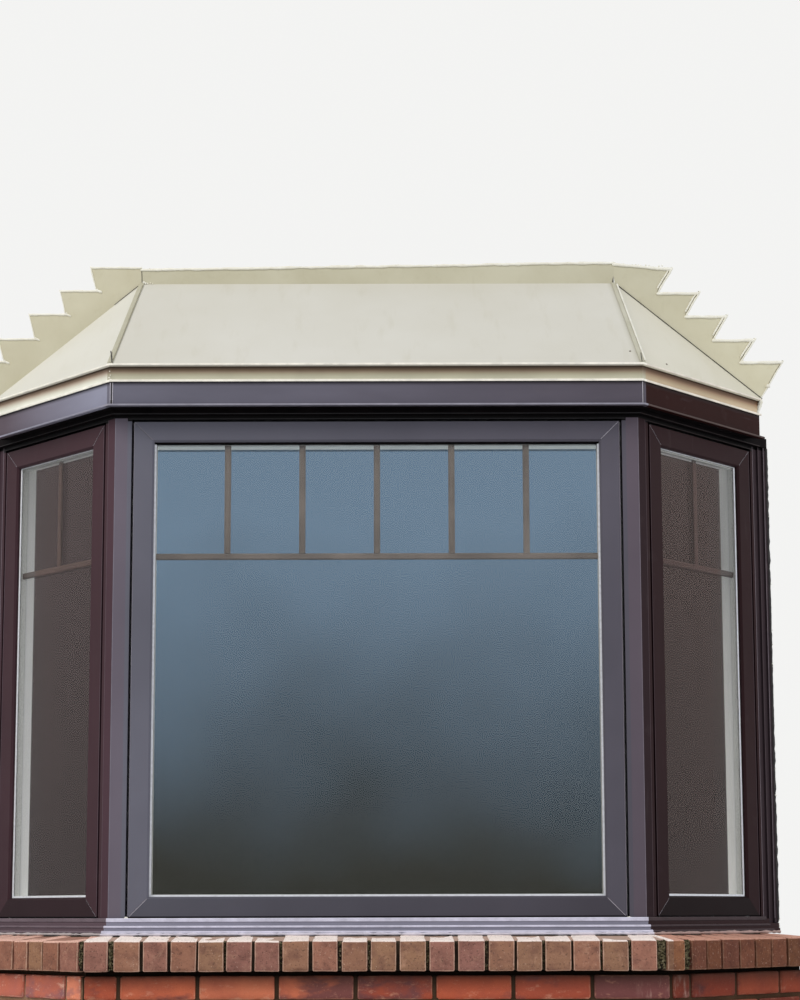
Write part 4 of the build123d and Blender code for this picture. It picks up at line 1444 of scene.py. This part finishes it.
def step_flashing(sign, reach, taper, lean, seed, seal, groove, crumbs):
    """One stepped flashing: the sheet, and the folds and sealant round its edge. The steps reach
    past the roof's edge, by less on each lower step, and their risers lean."""
    name = "right" if sign > 0 else "left"
    # How far the top and each step lie off their courses
    rise, shifts = 0.008, (-0.0075, -0.0080, -0.0060, -0.0050, 0.0)
    if sign < 0:
        rise, shifts = 0.0, (0.0, 0.0020, 0.0035, 0.0020, 0.0060)
    corners = [Vector(p) for p in step_outline(reach, taper, lean, rise, shifts)]
    edge = waver(corners, seed, 0.012)
    edge[0] = corners[0]
    inner = [Vector((roof_edge_x(z), z)) for z in np.linspace(EAVE_LEVEL, ROOF_TOP, 14)]
    sheet = Shape()
    plate(sheet, [Vector((sign * p.x, p.y)) for p in edge + inner], -SHEET, 0.0)
    sheet.make(
        f"flashing_sheet_{name}", "flashing_metal", "flashing_metal", smooth=False,
        replaces=[f"step_flashing_{name}"],
    )
    for k, (a, b) in enumerate(zip(corners, corners[1:])):
        along = (b - a).normalized()
        if k % 2 == 0:
            radius, tuck = (0.0049, 0.004) if sign > 0 else (0.0034, 0.0160)
            start = a - along * (tuck if k else 0)
            run = waver([start, b - along * (radius + 0.0015)], seed)
            run = inward(run, radius * 0.85)
            if sign < 0 and k:
                run[0] = run[0] + Vector((0.001, -0.004))
            bead(seal, on_wall(run, sign), radius, 0.35, seed, 0.6)
            continue
        run = waver([a, b], seed)
        if sign < 0:
            bead(seal, on_wall(inward(run, 0.0012), sign), 0.0016, 0.5, seed)
            crumbs.append((Vector((-b.x + 0.004, -0.004, b.y + 0.001)), 0.0028))
            continue
        last = k == len(corners) - 2
        if last:
            run = run[:round(len(run) * 0.98)]
        outer, near, far, within = 0.0028, 0.0052, 0.0074, 0.0098
        if last:
            outer, near, far = 0.0021, 0.0040, 0.0058
        bead(seal, on_wall(inward(run, outer * 0.9), sign), outer, 0.4, seed)
        # Painted shade: an olive strip in the groove inside the outer bead
        part = run[:round(len(run) * 0.6)] if last else run
        line = [Vector((sign * p.x, p.y)) for p in part]
        strip(groove, line, near * sign, far * sign, -SHEET - 0.0004, -SHEET + 0.0004)
        if last:
            middle = inward(run, 0.003)[round(len(run) * 0.62)]
            crumbs.append((Vector((middle.x, -0.0045, middle.y)), 0.0062))
        else:
            bead(seal, on_wall(inward(run, within)[1:-1], sign), 0.0025, 0.45, seed + 3)
            crumbs.append((Vector((b.x + 0.001, -0.0035, b.y + 0.002)), 0.0022))


def roof_flashings():
    """The flashings of the wall above and beside the roof."""
    seal, groove, crumbs = Shape(), Shape(), []
    step_flashing(1, 0.1495, 0.008, 0.042, 2.0, seal, groove, crumbs)
    step_flashing(-1, 0.1275, -0.001, 0.018, 7.0, seal, groove, crumbs)
    left, right = Vector((-ROOF_HALF, 3.1505)), Vector((ROOF_HALF, 3.1695))
    top = waver([left, right], 4, 0.012)
    top[0], top[-1] = left, right
    bead(seal, on_wall(inward(top, 0.0034), 1), 0.0043, 0.5, 5, 0.6)
    seal.make("flashing_sealant", "sealant", "flashing_metal")
    groove.make("flashing_groove_shades", "olive_line", "flashing_metal", smooth=False)
    apron = Shape()
    foot = [Vector((ROOF_HALF, ROOF_TOP)), Vector((-ROOF_HALF, ROOF_TOP))]
    plate(apron, top + foot, -SHEET, 0.0)
    apron.make(
        "apron_sheet", "flashing_metal", "flashing_metal", smooth=False,
        replaces=["apron_flashing"],
    )
    rnd = random.Random(31)
    runs = (
        (0.50, ROOF_HALF, 3.1650, 3.1660, 16), (ROOF_HALF, 0.83, 3.1635, 3.1545, 14),
        (-0.70, -0.40, 3.1490, 3.1520, 18),
    )
    for x0, x1, z0, z1, count in runs:
        for _ in range(count):
            share = rnd.random()
            x = x0 + (x1 - x0) * share
            z = z0 + (z1 - z0) * share + rnd.uniform(-0.003, 0.002)
            crumbs.append((Vector((x, -0.0036, z)), rnd.uniform(0.0012, 0.0026)))
    corner_bits = (
        (-0.679, 3.1095, 0.0034), (-0.674, 3.1065, 0.0028), (-0.668, 3.1060, 0.0022),
        (-0.660, 3.1075, 0.0018), (-0.681, 3.1035, 0.0026), (-0.654, 3.1062, 0.0018),
    )
    for x, z, r in corner_bits:
        crumbs.append((Vector((x, -0.0045, z)), r))
    lumps("flashing_crumbs", crumbs, "sealant", "flashing_metal", 0.5)
    # The apron's slits are painted shadows, and a bright flap beside one is a painted highlight
    slot, flap = Shape(), Shape()
    plate(slot, ((0.6800, 3.1060), (0.6846, 3.1050), (0.6842, 3.1250)), -0.0034, -SHEET)
    waist = (
        (-0.6868, 3.1490), (-0.6852, 3.1490), (-0.6838, 3.1300),
        (-0.6834, 3.1100), (-0.6850, 3.1100), (-0.6856, 3.1300),
    )
    plate(slot, waist, -0.0030, -SHEET)
    slot.make("apron_slit_shadows", "dark_line", "flashing_metal", smooth=False)
    plate(flap, ((0.6848, 3.1050), (0.6886, 3.1030), (0.6845, 3.1250)), -0.0042, -SHEET)
    flap.make("apron_flap_highlight", "cream_line", "flashing_metal", smooth=False)


# Roof details

EAVE_CORNER = Vector((0.71756, -0.388, EAVE_LEVEL))
EAVE_END = Vector((EAVE_END_X, 0.0, EAVE_LEVEL))
HIP_TOP = Vector((ROOF_HALF, 0.0, ROOF_TOP))


def roof_normal(sign, flank):
    """The outward direction of a roof slope."""
    if not flank:
        return (HIP_TOP - EAVE_CORNER).cross(Vector((-1, 0, 0))).normalized()
    n = (EAVE_END - EAVE_CORNER).cross(HIP_TOP - EAVE_CORNER).normalized()
    return Vector((sign * n.x, n.y, n.z))


def line_tube(shape, a, b, radius, wave=0.0, seed=0.0, count=40):
    """A thin tube between two points that may waver."""
    path = []
    for k in range(count + 1):
        p = a.lerp(b, k / count)
        path.append(p + noise.noise_vector(p * 9 + Vector((seed, 0, 0))) * wave)
    bead(shape, path, radius, 0.25, seed)


# Sections of the rolled edge of the eave and of the band's turned-out foot, coloured as a painted
# highlight
HEMS = [
    [(0.0460, 2.7548), (0.0484, 2.7546), (0.0492, 2.7554), (0.0492, 2.7590),
     (0.0482, 2.7602), (0.0460, 2.7602)],
    [(0.0440, 2.7103), (0.0462, 2.7101), (0.0468, 2.7107), (0.0468, 2.7152),
     (0.0460, 2.7160), (0.0440, 2.7160)],
]


def eave_hems():
    """The rolled edge of the eave, and the turned-out foot of the band, bright with a painted
    highlight.
    """
    hem = Shape()
    for section in HEMS:
        hem.take(*mitred_run(section, -0.001, 1, ROOF))
    hem.make("eave_hems", "hem", "cream_metal", smooth=False)


def roof_seams():
    """Painted shadows in the gaps along the wall and in slits at the hips' feet, a painted shade
    beside the left hip's fold and a painted highlight on the right hip's fold.
    """
    dark, soft, pale = Shape(), Shape(), Shape()
    for sign in (1, -1):
        flank_n = roof_normal(sign, True)
        front_n = roof_normal(sign, False)
        corner = Vector((sign * EAVE_CORNER.x, EAVE_CORNER.y, EAVE_CORNER.z))
        end = Vector((sign * EAVE_END.x, EAVE_END.y, EAVE_END.z))
        top = Vector((sign * HIP_TOP.x, HIP_TOP.y, HIP_TOP.z))
        lift = flank_n * 0.0024
        out = Vector((0, -0.0032, 0))
        foot = top.lerp(end, 1.0 if sign > 0 else 0.18)
        radius = 0.0011 if sign > 0 else 0.0008
        line_tube(dark, top + lift + out, foot + lift + out, radius, 0.0004, sign)
        ridge = (front_n + flank_n).normalized() * 0.0058
        lip = ridge - Vector((sign * 0.0080, 0, 0))
        if sign < 0:
            a, b = (corner.lerp(top, share) + lip for share in (0.03, 0.97))
            line_tube(soft, a, b, 0.0009, 0.0005, 3)
            a = corner + ridge + Vector((0.0085, 0, 0))
            b = corner.lerp(top, 0.129) + ridge - Vector((0.0066, 0, 0))
            line_tube(dark, a, b, 0.0015, 0.0, 1, 8)
        else:
            fold = ridge + Vector((0.0052, 0, 0)) - front_n * 0.0016
            a, b = (corner.lerp(top, share) + fold for share in (0.02, 0.98))
            line_tube(pale, a, b, 0.0024, 0.0003, 1)
            a = corner + ridge - Vector((0.0050, 0, 0))
            line_tube(dark, a, corner.lerp(top, 0.10) + ridge, 0.0009, 0.0, 1, 8)
    pale.make("roof_fold_highlights", "cream_line", "cream_metal")
    soft.make("roof_fold_shades", "olive_line", "cream_metal")
    dark.make("roof_gap_shadows", "dark_line", "cream_metal")


def roof_screws():
    """Two domed screw heads near the right hip."""
    screws = Shape()
    count = 10
    dome = ((0.0030, 0.0), (0.0030, 0.0010), (0.0020, 0.0018), (0.0005, 0.0020))
    places = [
        (Vector((0.6886, -0.3377, 2.8032)), roof_normal(1, False)),
        (Vector((0.7933, -0.2840, 2.7818)), roof_normal(1, True)),
    ]
    for place, normal in places:
        turn = normal.to_track_quat("Z", "Y").to_matrix()
        verts = []
        for radius, height in dome:
            for k in range(count):
                angle = 2 * math.pi * k / count
                local = (math.cos(angle) * radius, math.sin(angle) * radius, SHEET + height)
                verts.append(place + turn @ Vector(local))
        screws.take(verts, ring_faces(len(dome), count))
    screws.make("roof_screws", "screw", "cream_metal")


def fascia_corners():
    """The folded corners of the fascia: a painted highlight on the edge and a painted shadow in the
    gap beside it.
    """
    pale, dark = Shape(), Shape()
    reach = 0.0415
    for sign in (1, -1):
        x = sign * (ROOF[0] + reach * MITRE)
        y = -ROOF[1] - reach
        lift = Vector((sign * math.sin(HALF_TURN), -math.cos(HALF_TURN), 0)) * 0.0002
        a, b = (Vector((x, y, z)) + lift for z in (2.6500, 2.7085))
        line_tube(pale, a, b, 0.0010, 0.0003, sign, 12)
        step = Vector((sign * 0.0022, 0.0022, 0)) if sign > 0 else Vector((0.0034, 0, 0))
        line_tube(dark, a + step, b + step, 0.0011, 0.0002, sign + 4, 12)
        if sign < 0:
            line_tube(pale, a + step * 1.9, b + step * 1.9, 0.0011, 0.0003, 8, 12)
            line_tube(dark, a + step, a + step + Vector((0, 0, 0.009)), 0.0026, 0.0, 2, 4)
    pale.make("fascia_corner_highlights", "fascia_edge", "brown_metal")
    dark.make("fascia_corner_shadows", "dark_line", "brown_metal")


def fascia_lip():
    """The lit edge of the fascia's lip, coloured as a painted highlight."""
    lip = Shape()
    section = [
        (0.0513, 2.6431), (0.0524, 2.6438), (0.0526, 2.6458), (0.0524, 2.6476), (0.0513, 2.6482),
    ]
    lip.take(*mitred_run(section, -0.001, 1, ROOF))
    lip.make("fascia_lip_highlight", "fascia_lip", "brown_metal", smooth=False)


def band_sealant():
    """Sealant at the band's two ends, and bits of it at the left corner."""
    caulk = Shape()
    rnd = random.Random(9)
    for sign in (1, -1):
        line = []
        for k in range(9):
            z = 2.752 - 0.0045 * k
            x = SHEET_END - 0.0015 * k + rnd.uniform(-0.001, 0.001)
            line.append(Vector((sign * x, -0.0045, z)))
        bead(caulk, line, 0.0052, 0.7, 3 + sign)
    caulk.make("band_end_sealant", "sealant", "cream_metal")
    bits = []
    corner = Vector((-ROOF[0] - 0.0446 * MITRE, -ROOF[1] - 0.0446, 0))
    spots = (
        (0.001, 2.7290, 0.0016), (-0.002, 2.7215, 0.0022),
        (0.0015, 2.7160, 0.0026), (-0.001, 2.7395, 0.0014),
    )
    for dx, z, r in spots:
        bits.append((corner + Vector((dx, 0.001, z)), r))
    lumps("band_corner_bits", bits, "sealant", "cream_metal", 0.6)


def nosing_lip_highlights():
    """The pale lip of each step of the nosing, coloured as a painted highlight."""
    lips = Shape()
    steps = ((0.0060, 1.2695, 1.2797), (0.0170, 1.2541, 1.2597), (0.0280, 1.2405, 1.2460))
    for out, low, high in steps:
        section = [(out - 0.0003, low), (out + 0.0012, low + 0.0003), (out + 0.0018, low + 0.0012),
                   (out + 0.0018, high - 0.0014), (out + 0.0008, high), (out - 0.0003, high)]
        lips.take(*mitred_run(section, 0.0, 1, WINDOW, 0.5305 + out * 0.3))
    lips.make("nosing_lip_highlights", "lip", "brown_frame", smooth=False)


def nosing_sealant():
    """The bead between the nosing's foot and the brick sill."""
    foot = Shape()
    rows = [Vector((*plan_point(0.0318, k, 0.0, WINDOW, 0.56), 1.2372)) for k in range(4)]
    path = []
    for a, b in zip(rows, rows[1:]):
        count = round((b - a).length / 0.009)
        path += [a.lerp(b, k / count) for k in range(count)]
    bead(foot, path + [rows[-1]], 0.0040, 0.75, 12)
    foot.make("nosing_foot_sealant", "foot_bead", "brown_frame")


def frame_gaps():
    """Faint painted highlights on the edges of the head trim, within its painted shade, and a
    painted shadow in the gap under the sashes.
    """
    head = Shape()
    section = [(0.0132, 2.6313), (0.0143, 2.6313), (0.0143, 2.6335), (0.0132, 2.6335)]
    head.take(*mitred_run(section, 0.0, 1, WINDOW, 0.55))
    blocks_around(head, 0.672, (0.032, 0.529), (-0.0002, 0.0006), (2.6202, 2.6222))
    head.make("head_edge_highlights", "head_line", "brown_frame", smooth=False)
    gap = Shape()
    blocks_around(gap, 0.6555, (0.0490, 0.5120), (-0.0003, 0.0005), (1.2810, 1.2840))
    gap.make("sash_foot_shadows", "recess", "brown_frame", smooth=False)


def post_sealant():
    """Bits of sealant at the foot of the two posts."""
    bits = []
    rnd = random.Random(17)
    for sign, low in ((1, 1.2735), (-1, 1.2765)):
        for _ in range(7):
            t, d = sign * rnd.uniform(0.656, 0.667), rnd.uniform(0.001, 0.004)
            spot = SIDES["front"].point(t, d, low + rnd.uniform(0, 0.006))
            bits.append((spot, rnd.uniform(0.0020, 0.0034)))
    lumps("post_foot_sealant", bits, "sealant", "brown_frame")


# How far a fine line stands out from a frame's face, and the lines on a jamb's three steps; all
# these lines are painted highlights
HAIR = (-0.0003, 0.0002)
JAMB_LINES = (
    ("bright", (0.5292, 0.5308), (-0.0003, 0.0004)),
    ("fine", (0.5488, 0.5506), (0.0058, 0.0063)),
    ("bright", (0.5672, 0.5690), (0.0118, 0.0123)),
)


def frame_edges():
    """The fine lit edges of the sashes, the posts and the jambs, drawn as painted highlights."""
    fine, bright = Shape(), Shape()
    lines = {"fine": fine, "bright": bright}
    foot_z, top_z = SASH_BOTTOM + 0.001, SASH_BOTTOM + SASH_HEIGHT - 0.001
    front = SIDES["front"]
    for sign in (-1, 1):
        a = sign * (FRONT_SASH / 2 - 0.0016)
        block(fine, front, sorted((a, a + sign * 0.0014)), HAIR, (foot_z, top_z))
        a = sign * (CORNER_X - 0.0019)
        block(fine, front, sorted((a, a + sign * 0.0016)), HAIR, (1.2645, HEAD_FOOT))
    for name in ("left", "right"):
        side = SIDES[name]
        sash_end = FLANK_START + FLANK_SASH - 0.0018
        for t, wide in ((0.0286, 0.0016), (FLANK_START + 0.0003, 0.0014), (sash_end, 0.0015)):
            high = HEAD_FOOT if t < 0.04 else top_z
            block(fine, side, (t, t + wide), HAIR, (foot_z, high))
        for kind, t, d in JAMB_LINES:
            block(lines[kind], side, t, d, (JAMB_FOOT, JAMB_TOP))
    fine.make("frame_edge_highlights", "fine_line", "brown_frame", smooth=False)
    bright.make("jamb_edge_highlights", "bright_line", "brown_frame", smooth=False)


def jamb_sealant():
    """Black sealant down both jambs, with flecks of white."""
    black, white = Shape(), []
    rnd = random.Random(21)
    for side in (SIDES["right"], SIDES["left"]):
        t, d, foot, head = 0.5822, 0.0118, 1.266, 2.628
        path = []
        count = 120
        for k in range(count + 1):
            z = foot + (head - foot) * k / count
            path.append(side.point(t + rnd.uniform(-0.0006, 0.0006), d, z))
        bead(black, path, 0.0046, 0.6, 6)
        for _ in range(34):
            z = 1.252 + rnd.random() ** 2.1 * 1.3
            place = side.point(t + rnd.uniform(-0.001, 0.004), d + 0.0036, z)
            white.append((place, rnd.uniform(0.0010, 0.0024)))
    black.make("jamb_sealant", "black_sealant", "brown_frame")
    lumps("jamb_sealant_flecks", white, "sealant", "brown_frame")


SLOTS = {p["node"]: p["material_slot"] for p in frame["record"]["subparts"]}

# Finishes in place of the parts' own; the head trim's near black is a painted shadow under the
# fascia
FINISH = {
    "corner_post": "post", "sill_nosing": "nosing", "head_trim": "recess", "eave_band": "band",
    "hip_caps": "hip", "sash": "sash", "wall_jamb": "jamb",
}

for name, body in nodes.items():
    finish = SLOTS[name]
    for stem, better in FINISH.items():
        if name.startswith(stem):
            finish = better
    body.data.materials.clear()
    body.data.materials.append(MATERIALS[finish])
    if finish == "glazing":
        body.visible_shadow = False
    else:
        bevel = body.modifiers.new("edges", "BEVEL")
        bevel.width = 0.0009
        bevel.segments = 2
        bevel.limit_method = "ANGLE"
        bevel.angle_limit = math.radians(25)

for side in SIDES.values():
    base_bricks(side)
    inner_bricks(side)
    sill_bricks(side)
    glazing_bars(side)
    glazing_tape(side)
    mitre_lines(side)
base_mortar()
sill_mortar()
moss()
roof_flashings()
eave_hems()
roof_seams()
roof_screws()
fascia_corners()
fascia_lip()
band_sealant()
nosing_lip_highlights()
nosing_sealant()
frame_gaps()
post_sealant()
frame_edges()
jamb_sealant()

# Floor, backdrop and light
FLOOR_GREY = (0.62, 0.62, 0.60)


def make_stage():
    """A pale floor with the object's shadow, and a pale world."""
    mesh = bpy.data.meshes.new("floor")
    s = 40
    mesh.from_pydata([(-s, -s, 0), (s, -s, 0), (s, s, 0), (-s, s, 0)], [], [(0, 1, 2, 3)])
    floor = bpy.data.objects.new("floor", mesh)
    bpy.context.scene.collection.objects.link(floor)
    n = Nodes("floor")
    n.shader(FLOOR_GREY, 0.9)
    mesh.materials.append(n.material)
    world = bpy.data.worlds.new("world")
    bpy.context.scene.world = world
    world.use_nodes = True
    tree = world.node_tree
    tree.nodes.clear()
    out = tree.nodes.new("ShaderNodeOutputWorld")
    plain = tree.nodes.new("ShaderNodeBackground")
    plain.inputs["Color"].default_value = (0.80, 0.86, 1.0, 1)
    plain.inputs["Strength"].default_value = 0.55
    seen = tree.nodes.new("ShaderNodeBackground")
    seen.inputs["Color"].default_value = (0.90, 0.90, 0.89, 1)
    seen.inputs["Strength"].default_value = 1.0
    rays = tree.nodes.new("ShaderNodeLightPath")
    mix = tree.nodes.new("ShaderNodeMixShader")
    clear = rays.outputs["Is Camera Ray"]
    for kind in ("Is Transmission Ray", "Is Glossy Ray"):
        either = tree.nodes.new("ShaderNodeMath")
        either.operation = "MAXIMUM"
        tree.links.new(clear, either.inputs[0])
        tree.links.new(rays.outputs[kind], either.inputs[1])
        clear = either.outputs[0]
    tree.links.new(clear, mix.inputs["Fac"])
    tree.links.new(plain.outputs[0], mix.inputs[1])
    tree.links.new(seen.outputs[0], mix.inputs[2])
    tree.links.new(mix.outputs[0], out.inputs["Surface"])


def area_light(name, place, target, size, power, colour):
    """A square soft light that looks at a target, and isn't seen itself."""
    data = bpy.data.lights.new(name, "AREA")
    data.shape = "RECTANGLE"
    data.size, data.size_y = size
    data.energy = power
    data.color = colour
    light = bpy.data.objects.new(name, data)
    bpy.context.scene.collection.objects.link(light)
    light.location = place
    light.visible_camera = False
    light.visible_transmission = False
    light.visible_glossy = False
    aim = Vector(target) - Vector(place)
    light.rotation_euler = aim.to_track_quat("-Z", "Y").to_euler()
    return light


make_stage()
area_light("key", (-4.5, -3.3, 6.4), (0, 0, 1.8), (3.5, 3.5), 290, (1.0, 0.97, 0.93))
area_light("fill", (5.6, -3.2, 4.6), (0, 0, 1.8), (4, 4), 200, (0.98, 0.98, 1.0))
area_light("back", (1.5, 4.5, 5.0), (0, 0, 1.5), (4, 4), 120, (1.0, 0.98, 0.95))

bpy.context.scene.view_settings.view_transform = "Standard"
